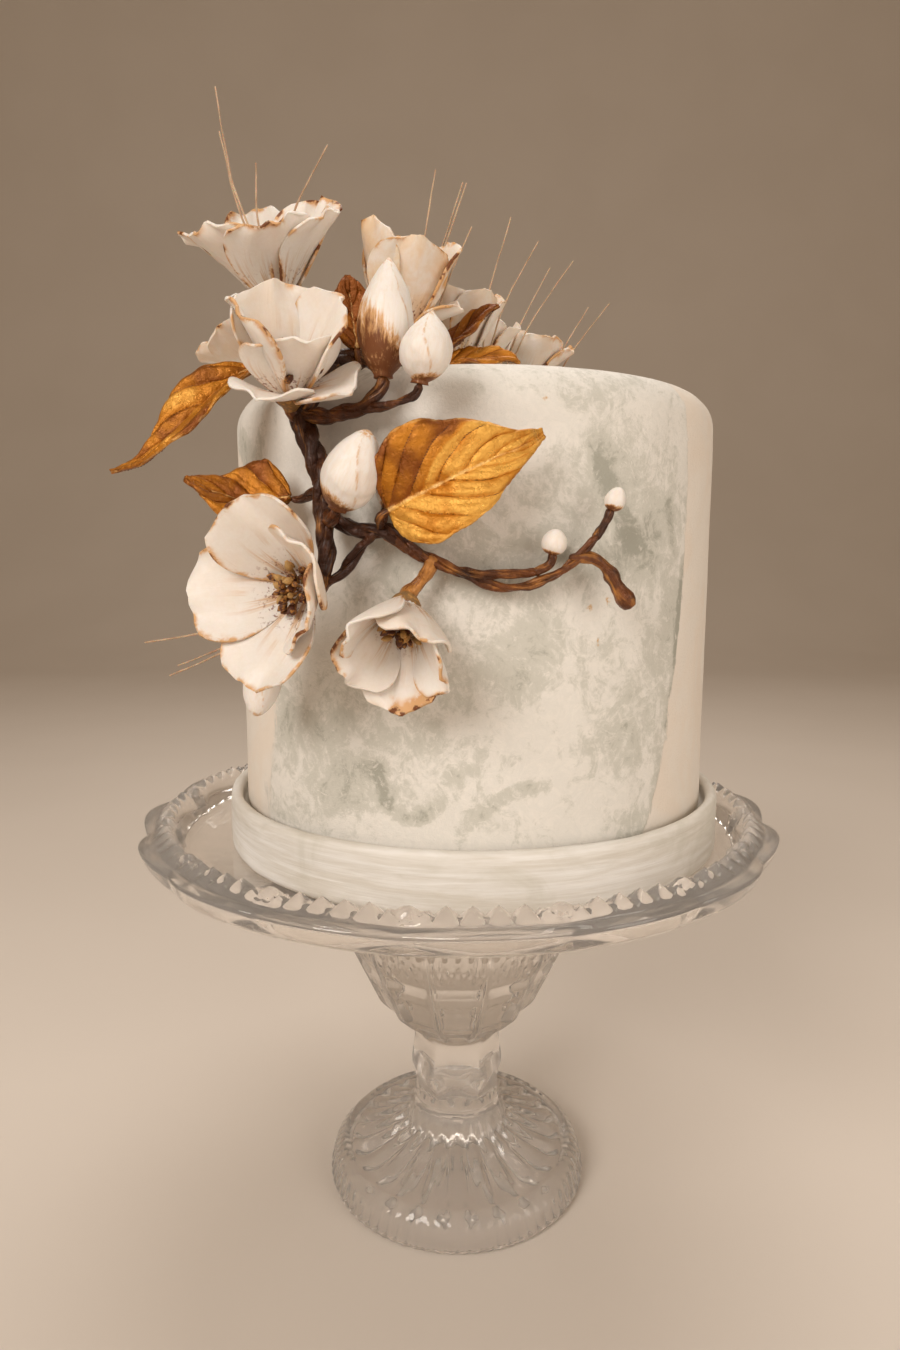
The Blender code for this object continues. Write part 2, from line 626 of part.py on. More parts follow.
def main():
    clear_scene()
    parts = new_collection("wedding_cake")
    glass = material("cut_glass", GLASS, 0.03, transmission=1.0)
    icing = material("painted_icing", CREAM, 0.55)
    petal = material("sugar_petal", WHITE, 0.6)
    fibre = material("dried_fibre", FIBRE, 0.7)
    bark = material("branch_bark", BARK, 0.5)
    gold = material("gilded_leaf", GOLD, 0.32, metallic=0.6)
    build_stand(parts, glass)
    build_cake(parts, icing)
    build_branch(parts, bark)
    for name, flower in FLOWERS.items():
        build_flower(name, flower, parts, petal)
    for name, (base, direction, length, width, bluntness) in BUDS.items():
        build_bud(name, base, direction, length, width, bluntness, parts, petal)
    for name, (base, direction, face, settings) in LEAVES.items():
        build_leaf(name, base, direction, face, settings, parts, gold)
    for name, (root, tips) in STALKS.items():
        build_stalks(name, root, tips, parts, fibre)


main()
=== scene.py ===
import math

import bpy
import numpy as np
from mathutils import Matrix, Vector


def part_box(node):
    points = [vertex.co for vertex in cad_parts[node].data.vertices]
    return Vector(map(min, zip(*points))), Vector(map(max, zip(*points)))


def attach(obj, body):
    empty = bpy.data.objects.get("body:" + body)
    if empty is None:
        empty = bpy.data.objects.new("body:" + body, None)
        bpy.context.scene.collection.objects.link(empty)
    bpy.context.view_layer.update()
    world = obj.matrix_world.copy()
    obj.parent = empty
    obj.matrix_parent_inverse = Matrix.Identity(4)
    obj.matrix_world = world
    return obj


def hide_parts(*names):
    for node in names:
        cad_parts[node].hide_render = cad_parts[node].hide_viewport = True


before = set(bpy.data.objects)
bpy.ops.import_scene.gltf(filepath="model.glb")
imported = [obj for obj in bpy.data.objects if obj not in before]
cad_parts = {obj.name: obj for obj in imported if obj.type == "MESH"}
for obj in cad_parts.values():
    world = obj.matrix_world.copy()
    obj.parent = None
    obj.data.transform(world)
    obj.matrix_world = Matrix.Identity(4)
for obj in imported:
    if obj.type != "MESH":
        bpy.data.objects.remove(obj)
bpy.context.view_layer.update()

# A wedding cake on a cut glass stand: the looks. Lengths in the tables are millimetres, and MM turns them
# into metres. The front is -Y, and angles round the stand run from the front towards +X.

MM = 0.001
UP = Vector((0, 0, 1))
TURN = 2 * math.pi
GAP = 0.3  # between two solids that touch
INNERMOST = 0.5  # radius of the ring nearest to the middle of a turned surface


def middle_and_size(node):
    """A node's centre and size, and how high its lowest and highest points are."""
    low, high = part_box(node)
    return (low + high) / 2 / MM, (high - low) / MM, low.z / MM, high.z / MM


# Meshes


def smooth_step(value, low, high):
    t = np.clip((value - low) / (high - low), 0, 1)
    return t * t * (3 - 2 * t)


def between(value, low, high, rise, fall):
    """1 from low + rise to high - fall, and fading from there to 0 at low and at high."""
    return smooth_step(value, low, low + rise) * (1 - smooth_step(value, high - fall, high))


def hump(value, centre, width):
    """A bell that is 1 at centre and fades over width."""
    return np.exp(-(((value - centre) / width) ** 2))


def unevenness(points, size, seed, octaves=3):
    """Smooth noise between about -1 and 1 at points, whose largest features are about size across."""
    draw = np.random.default_rng(seed)
    total = np.zeros(points.shape[:-1])
    for octave in range(octaves):
        for _ in range(5):
            direction = draw.normal(size=3)
            direction *= TURN * 2**octave / size / np.linalg.norm(direction)
            total += np.sin(points @ direction + draw.uniform(0, TURN)) * 0.55**octave
    return total / 5


def distances(path):
    """How far along a path each of its points lies."""
    return np.concatenate([[0], np.cumsum(np.linalg.norm(np.diff(path, axis=0), axis=1))])


def resampled(points, spacing, easing):
    """The points of a polyline at an even spacing, with its corners rounded by so many passes."""
    points = np.array(points, float)
    along = distances(points)
    places = np.linspace(0, along[-1], max(3, round(along[-1] / spacing)) + 1)
    out = np.column_stack([np.interp(places, along, points[:, i]) for i in range(points.shape[1])])
    for _ in range(easing):
        out[1:-1] = (out[:-2] + 2 * out[1:-1] + out[2:]) / 4
    return out


def grid_faces(rows, columns, wrap=False, first=0):
    """The quads of a grid of points stored row by row. wrap joins the last column to the first."""
    row = np.arange(rows - 1)[:, None]
    column = np.arange(columns if wrap else columns - 1)[None, :]
    following = (column + 1) % columns
    corners = [row * columns + column, row * columns + following]
    corners += [(row + 1) * columns + following, (row + 1) * columns + column]
    return (np.stack(corners, axis=-1).reshape(-1, 4) + first).tolist()


def capped_faces(rows, columns, first):
    """The faces of rings of points, closed by a point at each end. Those two come first, at number first."""
    faces = grid_faces(rows, columns, wrap=True, first=first + 2)
    last = first + 2 + (rows - 1) * columns
    for i in range(columns):
        following = (i + 1) % columns
        faces.append([first, first + 2 + following, first + 2 + i])
        faces.append([first + 1, last + i, last + following])
    return faces


def transformed(matrix, points):
    return np.asarray(points) @ np.array(matrix.to_3x3()).T + np.array(matrix.translation)


class Builder:
    """Gathers the vertices, faces and named values of one piece, then makes its object."""

    def __init__(self):
        self.points, self.faces, self.values, self.count = [], [], {}, 0

    def add(self, points, faces, **values):
        points = np.asarray(points, float).reshape(-1, 3)
        self.points.append(points)
        self.faces += faces
        for name in {**self.values, **values}:
            kept = self.values.setdefault(name, [np.zeros(self.count)] if self.count else [])
            kept.append(np.broadcast_to(np.asarray(values.get(name, 0.0), float), len(points)))
        self.count += len(points)

    def piece(self, name, material, slot, *nodes):
        mesh = bpy.data.meshes.new(name)
        mesh.from_pydata((np.concatenate(self.points) * MM).tolist(), [], self.faces)
        mesh.validate()
        mesh.materials.append(material)
        for key, parts in self.values.items():
            layer = mesh.attributes.new(key, "FLOAT", "POINT")
            layer.data.foreach_set("value", np.concatenate(parts).astype(np.float32))
        mesh.shade_smooth()
        obj = bpy.data.objects.new(name, mesh)
        bpy.context.scene.collection.objects.link(obj)
        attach(obj, "root")
        if nodes:
            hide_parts(*nodes)


def add_turned(build, points, **values):
    """Adds a surface of rings, from the middle of its top to the middle of its underside, closed at both."""
    rows, columns = points.shape[:2]
    ends = [points[0].mean(axis=0), points[-1].mean(axis=0)]
    spread = {}
    for name, value in values.items():
        value = np.broadcast_to(value, (rows, columns))
        spread[name] = np.concatenate([[value[0].mean(), value[-1].mean()], value.ravel()])
    faces = [face[::-1] for face in capped_faces(rows, columns, build.count)]
    build.add(np.concatenate([ends, points.reshape(-1, 3)]), faces, **spread)


def add_shell(build, surface, thickness, matrix, **values):
    """Adds a thin closed sheet over a grid of points, with values of their own for each point."""
    rows, columns = surface.shape[:2]
    along, across = np.gradient(surface, axis=0), np.gradient(surface, axis=1)
    normals = np.cross(along, across)
    normals /= np.maximum(np.linalg.norm(normals, axis=-1, keepdims=True), 1e-9)
    half = normals * np.broadcast_to(thickness, (rows, columns))[..., None] / 2
    sheets = transformed(matrix, np.stack([surface + half, surface - half]).reshape(-1, 3))
    first, size = build.count, rows * columns
    faces = [face[::-1] for face in grid_faces(rows, columns, first=first)]
    faces += grid_faces(rows, columns, first=first + size)
    rim = [(0, i) for i in range(columns)] + [(i, columns - 1) for i in range(1, rows)]
    rim += [(rows - 1, i) for i in range(columns - 2, -1, -1)] + [(i, 0) for i in range(rows - 2, 0, -1)]
    edge = [first + row * columns + column for row, column in rim]
    for here, there in zip(edge, edge[1:] + edge[:1]):
        faces.append([here, there, there + size, here + size])
    single = {name: np.broadcast_to(value, (rows, columns)).ravel() for name, value in values.items()}
    doubled = {name: np.tile(value, 2) for name, value in single.items()}
    build.add(sheets, faces, face=np.repeat([1.0, 0.0], size), **doubled)


def carried_frames(path):
    """Two directions across a path at each of its points, which don't spin along it."""
    tangents = np.gradient(path, axis=0)
    tangents /= np.linalg.norm(tangents, axis=1, keepdims=True)
    side = np.cross(tangents[0], (0.31, 0.17, 0.94))
    sides = []
    for tangent in tangents:
        side = side - tangent * (side @ tangent)
        side = side / np.linalg.norm(side)
        sides.append(side)
    sides = np.array(sides)
    return tangents, sides, np.cross(tangents, sides)


def add_tube(build, path, radii, sides, **values):
    """Adds a tube with round ends. radii has one value for each point, or a row of one for each side."""
    path = np.asarray(path, float)
    radii = np.asarray(radii, float)
    radii = np.broadcast_to(radii[:, None] if radii.ndim == 1 else radii, (len(path), sides))
    tangents = carried_frames(path)[0]
    ends = [(path[0], -tangents[0], radii[0].mean()), (path[-1], tangents[-1], radii[-1].mean())]
    caps = [place + tangent * radius * 0.55 for place, tangent, radius in ends]
    tips = [place + tangent * radius * 0.85 for place, tangent, radius in ends]
    path = np.concatenate([caps[:1], path, caps[1:]])
    radii = np.concatenate([radii[:1] * 0.75, radii, radii[-1:] * 0.75])
    _, right, ahead = carried_frames(path)
    turns = np.arange(sides) * TURN / sides
    ring = right[:, None] * np.cos(turns)[None, :, None] + ahead[:, None] * np.sin(turns)[None, :, None]
    body = path[:, None] + ring * radii[..., None]
    count = len(path)
    faces = capped_faces(count, sides, build.count)
    spread = {"run": np.repeat(distances(path), sides)}
    spread["round"] = np.tile(np.cos(turns) * radii.mean(), count)
    spread["aside"] = np.tile(np.sin(turns) * radii.mean(), count)
    spread.update({name: np.full(count * sides, float(value)) for name, value in values.items()})
    spread = {name: np.concatenate([value[[0, -1]], value]) for name, value in spread.items()}
    build.add(np.concatenate([tips, body.reshape(-1, 3)]), faces, **spread)


def add_grain(build, centre, axis, length, width, **values):
    """Adds a small long lump, such as an anther."""
    levels = np.array([-0.94, -0.5, 0.0, 0.5, 0.94])
    path = np.array(centre) + np.outer(levels, np.array(axis)) * length / 2
    add_tube(build, path, np.sqrt(1 - levels**2) * width / 2, 6, **values)


# Materials


class Look:
    """A material, with short calls for the nodes that the looks share."""

    def __init__(self, name, **settings):
        self.material = bpy.data.materials.new(name)
        self.material.use_nodes = True
        self.nodes, self.links = self.material.node_tree.nodes, self.material.node_tree.links
        self.shader = self.nodes["Principled BSDF"]
        for key, value in settings.items():
            self.shader.inputs[key.replace("_", " ").title().replace("Ior", "IOR")].default_value = value
        self.place = self.nodes.new("ShaderNodeTexCoord").outputs["Object"]

    def feed(self, socket, value):
        if isinstance(value, bpy.types.NodeSocket):
            self.links.new(value, socket)
        else:
            socket.default_value = value

    def stretched(self, stretch, place=None):
        """The place scaled on each axis, so that a pattern runs long where the number is small."""
        node = self.nodes.new("ShaderNodeVectorMath")
        node.operation = "MULTIPLY"
        self.feed(node.inputs[0], place or self.place)
        node.inputs[1].default_value = stretch
        return node.outputs[0]

    def noise(self, size, detail=4.0, roughness=0.55, distortion=0.0, stretch=(1, 1, 1), place=None):
        """Noise whose features are about size millimetres across."""
        node = self.nodes.new("ShaderNodeTexNoise")
        node.inputs["Scale"].default_value = 1 / (size * MM)
        node.inputs["Detail"].default_value = detail
        node.inputs["Roughness"].default_value = roughness
        node.inputs["Distortion"].default_value = distortion
        self.feed(node.inputs["Vector"], self.stretched(stretch, place))
        return node.outputs["Fac"]

    def value(self, name):
        """One of the mesh's named values."""
        node = self.nodes.new("ShaderNodeAttribute")
        node.attribute_name = name
        return node.outputs["Fac"]

    def vector(self, *names):
        """A place given by three of the mesh's values, in millimetres."""
        node = self.nodes.new("ShaderNodeCombineXYZ")
        for socket, name in zip(node.inputs, names):
            self.feed(socket, self.value(name))
        return self.stretched((MM, MM, MM), node.outputs[0])

    def maths(self, operation, *terms):
        node = self.nodes.new("ShaderNodeMath")
        node.operation = operation
        for socket, value in zip(node.inputs, terms):
            self.feed(socket, value)
        return node.outputs[0]

    def added(self, a, b):
        return self.maths("ADD", a, b)

    def scaled(self, value, factor, more=0.0):
        """The value times a factor, with more added to it."""
        return self.maths("MULTIPLY_ADD", value, factor, more)

    def ranged(self, value, low, high, out_low=0.0, out_high=1.0):
        """Eases from out_low to out_high while the value goes from low to high."""
        node = self.nodes.new("ShaderNodeMapRange")
        node.interpolation_type = "SMOOTHSTEP"
        for key, setting in zip(("From Min", "From Max", "To Min", "To Max"), (low, high, out_low, out_high)):
            node.inputs[key].default_value = setting
        self.feed(node.inputs["Value"], value)
        return node.outputs["Result"]

    def mix(self, factor, a, b, blend="MIX"):
        node = self.nodes.new("ShaderNodeMix")
        node.data_type = "RGBA"
        node.blend_type = blend
        for socket, value in zip((node.inputs[0], node.inputs[6], node.inputs[7]), (factor, a, b)):
            self.feed(socket, (*value, 1.0) if isinstance(value, tuple) else value)
        return node.outputs[2]

    def over(self, colour, layer, cover, low, high, most=1.0):
        """A colour under a layer, which grows from nothing to most while its cover goes from low to high."""
        return self.mix(self.ranged(cover, low, high, 0, most), colour, layer)

    def bump(self, height, depth, strength=1.0):
        """Feeds the shader a relief of depth millimetres."""
        node = self.nodes.new("ShaderNodeBump")
        node.inputs["Strength"].default_value = strength
        node.inputs["Distance"].default_value = depth * MM
        self.feed(node.inputs["Height"], height)
        self.links.new(node.outputs["Normal"], self.shader.inputs["Normal"])

    def finish(self, colour, grain, smooth, rough):
        """Feeds the shader its colour, and a roughness that goes from smooth to rough with the grain."""
        self.feed(self.shader.inputs["Base Color"], colour)
        self.feed(self.shader.inputs["Roughness"], self.ranged(grain, 0.3, 0.7, smooth, rough))
        return self.material


CREAM = (0.80, 0.76, 0.695)
BARE_CREAM = (0.80, 0.71, 0.61)
WASH = (0.58, 0.56, 0.49)
DEEP_WASH = (0.37, 0.36, 0.30)
PALE_WASH = (0.745, 0.715, 0.655)
OCHRE = (0.58, 0.33, 0.11)


def cake_look():
    """Cream icing dabbed with washes of grey and sage green, which leave a bare strip at each side."""
    look = Look("painted_icing", specular_ior_level=0.3)
    cloud = look.noise(30, 6, 0.6, 0.8, (1, 1, 0.8))
    dapple = look.noise(12, 8, 0.70, 1.3, (1, 1, 0.8))
    scuff = look.noise(4.0, 8, 0.76, 1.0)
    plaster = look.noise(7.5, 9, 0.78, 1.8)
    speck = look.noise(1.4, 5, 0.7)
    thick = look.scaled(dapple, 0.60, look.scaled(cloud, 0.42))
    thick = look.scaled(look.value("wash"), 0.20, thick)
    thick = look.scaled(scuff, 0.45, thick)
    base = look.over(CREAM, PALE_WASH, plaster, 0.40, 0.62)
    tone = look.over(base, WASH, thick, 0.70, 0.84, 0.9)
    tone = look.over(tone, DEEP_WASH, thick, 0.86, 1.02, 0.9)
    scrape = look.scaled(plaster, 1.0, look.scaled(scuff, 0.4))
    tone = look.over(tone, CREAM, scrape, 0.74, 0.84, 0.62)
    ragged = look.scaled(look.noise(8, 6, 0.7, 0.6, (1, 1, 0.35)), 2.0, look.value("painted"))
    painted = look.ranged(ragged, 1.25, 1.55)
    bare = look.over(BARE_CREAM, CREAM, cloud, 0.4, 0.6, 0.5)
    colour = look.mix(painted, bare, tone)
    fleck = look.ranged(look.scaled(speck, 0.6, look.value("fleck")), 0.72, 0.95)
    colour = look.mix(fleck, colour, OCHRE)
    relief = look.scaled(look.added(plaster, scuff), look.ranged(painted, 0, 1, 0.1, 0.8), speck)
    look.bump(relief, 0.5, 0.6)
    return look.finish(colour, plaster, 0.46, 0.66)


def drum_look():
    """The covered drum: cream with level brush strokes and a faint green-grey wash."""
    look = Look("painted_drum", specular_ior_level=0.3)
    stroke = look.noise(1.9, 5, 0.62, 0.3, (0.045, 0.045, 1))
    band = look.noise(8, 4, 0.6, 0.8, (0.12, 0.12, 1))
    patch = look.noise(38, 5, 0.62, 0.8, (1, 1, 1.6))
    colour = look.over((0.85, 0.825, 0.785), (0.76, 0.72, 0.655), band, 0.40, 0.66)
    colour = look.over(colour, (0.65, 0.62, 0.54), patch, 0.48, 0.68, 0.6)
    streak = look.over((0.86, 0.84, 0.80), (1.0, 1.0, 1.0), stroke, 0.32, 0.68)
    colour = look.mix(0.9, colour, look.mix(1.0, colour, streak, "MULTIPLY"))
    look.bump(look.added(stroke, band), 0.4, 0.6)
    return look.finish(colour, stroke, 0.42, 0.6)


IVORY = (0.84, 0.79, 0.74)
TAN = (0.62, 0.31, 0.085)
BURNT = (0.15, 0.040, 0.007)
SUGAR = {"subsurface_scale": 0.003, "subsurface_weight": 0.15, "subsurface_radius": (1.0, 0.55, 0.3)}


def petal_look():
    """Sugar paste: ivory, dusted with ochre, tanned and here and there burnt brown at its edges and foot."""
    look = Look("sugar_petal", specular_ior_level=0.35, **SUGAR)
    patch = look.noise(11, 4, 0.6, 0.3)
    spot = look.noise(4.2, 4, 0.6, 0.3)
    fine = look.noise(1.3, 4, 0.6)
    place = look.vector("across", "along", "face")
    grain = look.noise(2.2, 4, 0.6, 0.2, (1, 0.07, 1), place)
    colour = look.over(IVORY, (0.79, 0.73, 0.665), fine, 0.3, 0.7, 0.5)
    wash = look.scaled(look.value("tint"), look.ranged(patch, 0.34, 0.62, 0.25, 1.0))
    colour = look.mix(wash, colour, (0.74, 0.52, 0.30))
    ray = look.scaled(look.value("foot"), look.ranged(grain, 0.44, 0.64))
    colour = look.over(colour, (0.58, 0.32, 0.12), ray, 0.12, 0.75, 0.8)
    dust = look.scaled(look.value("foot"), look.ranged(fine, 0.50, 0.62))
    colour = look.over(colour, (0.20, 0.05, 0.02), dust, 0.42, 0.72, 0.85)
    edge = look.scaled(look.value("edge"), look.value("burn"))
    some = look.ranged(look.noise(17, 3, 0.5), 0.42, 0.60, 0.12, 1.0)
    tan = look.scaled(edge, look.scaled(some, look.ranged(spot, 0.34, 0.60, 0.3, 1.15)))
    colour = look.over(colour, TAN, tan, 0.12, 0.80, 0.85)
    burnt = look.scaled(tan, look.ranged(patch, 0.44, 0.60, 0.2, 1.2))
    colour = look.over(colour, BURNT, burnt, 0.62, 1.15, 0.95)
    look.bump(look.scaled(fine, 0.3, grain), 0.22, 0.6)
    return look.finish(colour, fine, 0.42, 0.58)


def bud_look():
    """A sugar bud: ivory, brown in ragged streaks from its foot and tan at its tip and seams."""
    look = Look("sugar_bud", specular_ior_level=0.4, **SUGAR)
    place = look.vector("round", "aside", "run")
    streak = look.noise(1.2, 6, 0.70, 0.2, (1, 1, 0.10), place)
    patch = look.noise(5, 3, 0.6, 0.3)
    fine = look.noise(1.2, 4, 0.6)
    ragged = look.scaled(streak, 3.6, -1.8)
    ragged = look.added(ragged, look.scaled(patch, 1.2, -0.6))
    reach = look.scaled(ragged, look.maths("MINIMUM", look.value("foot"), 0.55), look.value("foot"))
    colour = look.over(IVORY, (0.80, 0.70, 0.59), streak, 0.38, 0.66, 0.6)
    tip = look.scaled(look.value("edge"), look.ranged(streak, 0.36, 0.60, 0.35, 1.0))
    colour = look.over(colour, TAN, tip, 0.25, 0.95, 0.85)
    colour = look.over(colour, TAN, reach, 0.20, 0.60, 0.9)
    colour = look.over(colour, BURNT, reach, 0.50, 0.95, 0.95)
    look.bump(look.scaled(fine, 0.3, streak), 0.3, 0.6)
    return look.finish(colour, streak, 0.38, 0.55)


def stamen_look():
    """Anthers and threads: dark brown, dusted with gold."""
    look = Look("stamens", specular_ior_level=0.4)
    dust = look.noise(1.6, 3, 0.6)
    colour = look.over((0.075, 0.020, 0.007), (0.42, 0.19, 0.045), dust, 0.46, 0.62)
    colour = look.mix(look.value("pale"), colour, (0.62, 0.38, 0.13))
    look.bump(look.noise(0.6, 2), 0.25, 0.8)
    return look.finish(colour, dust, 0.45, 0.7)


def leaf_look():
    """A gilded leaf: antique gold, orange-brown in places, with painted shade in its hollows and creases and
    a pale painted highlight on its ridges and edges.
    """
    look = Look("gilded_leaf", metallic=0.45, specular_ior_level=0.45)
    patch = look.noise(12, 4, 0.6, 0.8)
    fine = look.noise(2.6, 5, 0.66, 0.3)
    scratch = look.noise(1.3, 4, 0.6, 0.2, (0.5, 0.5, 0.5))
    # shade turns the gold orange-brown: random tone from panel to panel, the dark panel, and painted shade in
    # the hollows.
    shade = look.added(look.value("shade"), look.scaled(patch, 1.1, -0.55))
    colour = look.over((0.80, 0.41, 0.07), (0.55, 0.20, 0.010), shade, 0.05, 0.55)
    colour = look.over(colour, (0.24, 0.065, 0.004), shade, 0.50, 1.10)
    # Painted highlight: pale gold along the midrib, the wrinkles' crests and the edges.
    pale = look.added(look.value("ridge"), look.scaled(fine, 1.2, -0.6))
    colour = look.over(colour, (0.93, 0.62, 0.25), pale, 0.40, 1.0, 0.7)
    # Painted shade: near black in the creases and the wrinkles' troughs, broken up by noise.
    dark = look.added(look.value("crease"), look.scaled(scratch, 0.9, -0.45))
    colour = look.over(colour, (0.085, 0.022, 0.004), dark, 0.25, 0.80, 0.92)
    look.bump(look.scaled(patch, 0.8, fine), 1.1, 0.8)
    return look.finish(colour, fine, 0.24, 0.46)


def bark_look():
    """The modelled branch: dark red-brown, glossy, with long ridges and a painted gold-brown highlight along
    them.
    """
    look = Look("branch_bark", metallic=0.3, specular_ior_level=0.4, coat_weight=0.15, coat_roughness=0.2)
    place = look.vector("round", "aside", "run")
    ridge = look.noise(1.8, 5, 0.62, 0.4, (1, 1, 0.14), place)
    patch = look.noise(9, 4, 0.6, 0.5)
    tone = look.added(look.value("warm"), look.scaled(patch, 1.6, -0.8))
    colour = look.over((0.045, 0.013, 0.004), (0.19, 0.055, 0.010), tone, 0.05, 0.75)
    # Painted highlight: a gold-brown glint along the ridges, strongest where the brown is warm.
    glint = look.scaled(ridge, 1.7, look.scaled(tone, 0.35))
    colour = look.over(colour, (0.60, 0.26, 0.06), glint, 0.98, 1.35, 0.85)
    look.bump(look.scaled(look.noise(3.2, 4, 0.65, 0.5), 1.2, ridge), 1.2, 0.9)
    return look.finish(colour, ridge, 0.24, 0.44)


def fibre_look():
    """A dried stalk: pale straw, a little see-through."""
    look = Look("dried_fibre", subsurface_weight=0.3, subsurface_scale=0.001)
    run = look.noise(4, 4, 0.6, 0.2, (1, 1, 0.2))
    colour = look.over((0.36, 0.23, 0.13), (0.56, 0.41, 0.27), run, 0.3, 0.7)
    look.bump(look.noise(0.8, 3), 0.1)
    return look.finish(colour, run, 0.5, 0.7)


def glass_look():
    """Clear pressed glass with a very slight ripple."""
    look = Look("cut_glass", base_color=(1.0, 0.96, 0.915, 1), transmission_weight=0.86, ior=1.46)
    look.bump(look.noise(14, 3, 0.5), 0.4, 0.2)
    look.feed(look.shader.inputs["Roughness"], look.ranged(look.noise(5, 4, 0.6), 0.4, 0.75, 0.0, 0.05))
    return look.material


# Stand

PLATE_RADIUS = 119  # the flat middle of the plate
RIM_INNER = 131  # the scallops begin outside this radius
TOOTH_BACK, RIDGE_RADIUS, TOOTH_FOOT = 122.5, 129.5, 135
SCALLOPS, TEETH = 16, 6  # teeth to a scallop
SCALLOP_NOTCH, SCALLOP_DIP = 4.0, 2.0  # how far the rim turns in and down between two scallops
NOTCH_ANGLE = math.radians(-7.6)
STEPS_A_TOOTH = 6
BAND_DROP = 4.5  # from the teeth's points down to the band outside them
STAR_RADIUS, STAR_SIZE, STAR_RISE = 128.5, 6.0, 2.2
BOWL_PANELS, BOWL_LOW, BOWL_HIGH, BOWL_RADIUS = 12, 76, 150, 62
LOWER_GROOVE, BAND_LOW, BAND_HIGH, UPPER_GROOVE = 101.5, 101, 112, 113
LATTICE_LOW, LATTICE_HIGH, LATTICE_PITCH = 117, 147, 8
NECK_SIDES, NECK_LOW, NECK_HIGH, NECK_CUT = 6, 47, 77, 0.8
NECK_FOOT, FOOT_TOP = 30, 34  # heights where the neck spreads into the foot
FOOT_RING = 30  # radius of a thin raised ring on the foot
FLUTES, FLUTE_INNER, FLUTE_OUTER, FLUTE_DEPTH = 24, 20, 50, 2.4
FOOT_RIBS, RIB_INNER, RIB_LOW, RIB_HIGH, RIB_DEPTH = 72, 54, 0.5, 14, 0.9


def stand_profile(radius, rim, plate):
    """Radius and height down the stand's outer side, and up its dished underside to the middle."""
    return [
        (INNERMOST, plate), (PLATE_RADIUS, plate), (TOOTH_BACK, plate + 1.5), (127, rim - 3),
        (RIDGE_RADIUS, rim), (TOOTH_FOOT, rim - BAND_DROP), (radius, rim - 6), (radius - 1, rim - 9),
        (radius - 3.5, plate + 1), (124, plate - 5), (70, plate - 11), (60, 148), (51, 121), (36, 89),
        (23, 76.5), (20, 70), (22, 54), (19.5, 47), (20.5, 37), (24, 28), (33, 23.2), (51.5, 15.5),
        (54, 17), (59.5, 12), (61.5, 4), (60.5, 0), (57, 0), (53, 5), (34, 12), (16, 17), (INNERMOST, 18),
    ]


def thinned(profile, spacing):
    """The points of a fine profile, with about the given spacing between the ones that are kept."""
    steps = np.linalg.norm(np.diff(profile, axis=0), axis=1) / spacing[1:]
    units = np.floor(np.concatenate([[0], np.cumsum(steps)]))
    keep = np.diff(units, prepend=-1) > 0
    keep[-1] = True
    return profile[keep]


def stand_rows(radius, rim, plate):
    """Points down the stand's outer side, close together where the glass is cut."""
    fine = resampled(stand_profile(radius, rim, plate), 0.3, 2)
    r, z = fine[:, 0], fine[:, 1]
    upper = np.arange(len(fine)) < np.argmax(r)
    zones = [upper & (r < PLATE_RADIUS), upper, z > plate - 5, r > BOWL_RADIUS, z > BOWL_LOW]
    zones += [z > NECK_FOOT, z > 0.2]
    return thinned(fine, np.select(zones, [14, 1.0, 2.4, 8, 2.4, 3.5, 2.2], 15))


def zigzag(turns):
    """A wave of straight slopes from 0 to 1 and back in each turn."""
    return 1 - np.abs(2 * (turns % 1) - 1)


def rim_cut(radius, height, around, rim):
    """How far the cut rim lies above or below the plain one: pointed teeth, and a star at each notch."""
    swing = np.abs(np.sin(np.pi * around))
    level = rim - BAND_DROP * (1 - zigzag(around * TEETH))
    notch = np.minimum(level - height, 0) * smooth_step(swing, 0.16, 0.30)
    notch *= (radius > TOOTH_BACK) & (radius < TOOTH_FOOT)
    aside = (around - np.round(around)) * TURN / SCALLOPS * radius
    spoke = np.hypot(aside, radius - STAR_RADIUS)
    star = 0.5 + 0.5 * np.cos(8 * np.arctan2(aside, radius - STAR_RADIUS))
    level = rim - 1.2 - BAND_DROP * smooth_step(spoke, 0, STAR_SIZE) + STAR_RISE * star * spoke / STAR_SIZE
    rosette = (level - height) * (1 - smooth_step(spoke, STAR_SIZE - 1, STAR_SIZE + 0.5))
    groove = -0.7 * hump(radius, TOOTH_FOOT + 1.2, 0.8)
    return notch + np.where(swing < 0.5, rosette, 0) * 0.8 + groove


def bowl_cut(radius, height, angle):
    """How far the bowl's cut wall lies outside the plain one: flat panels with a lattice and rings."""
    panel = TURN / BOWL_PANELS
    within = (angle + panel / 2) % panel - panel / 2
    flat = np.cos(panel / 2) / np.cos(within)
    seam = np.abs(np.abs(within) - panel / 2) * radius
    scallop = 0.6 + 0.4 * np.cos(TURN * within / panel * 4)
    cut = -1.1 * hump(height, UPPER_GROOVE, 1.1) - 1.1 * hump(height, LOWER_GROOVE, 1.2) * scallop
    cut += 0.9 * between(height, BAND_LOW, BAND_HIGH, 2, 2)
    turns, rise = within / panel * 5, height / LATTICE_PITCH
    lattice = np.abs(np.sin(np.pi * (turns + rise)) * np.sin(np.pi * (turns - rise)))
    cut += lattice * between(height, LATTICE_LOW, LATTICE_HIGH, 3, 4)
    cut *= smooth_step(seam, 1.2, 2.2)
    cut += 1.1 * (1 - smooth_step(seam, 0.4, 1.6))
    return (radius * (flat - 1) + cut) * between(height, BOWL_LOW, BOWL_HIGH, 6, 4)


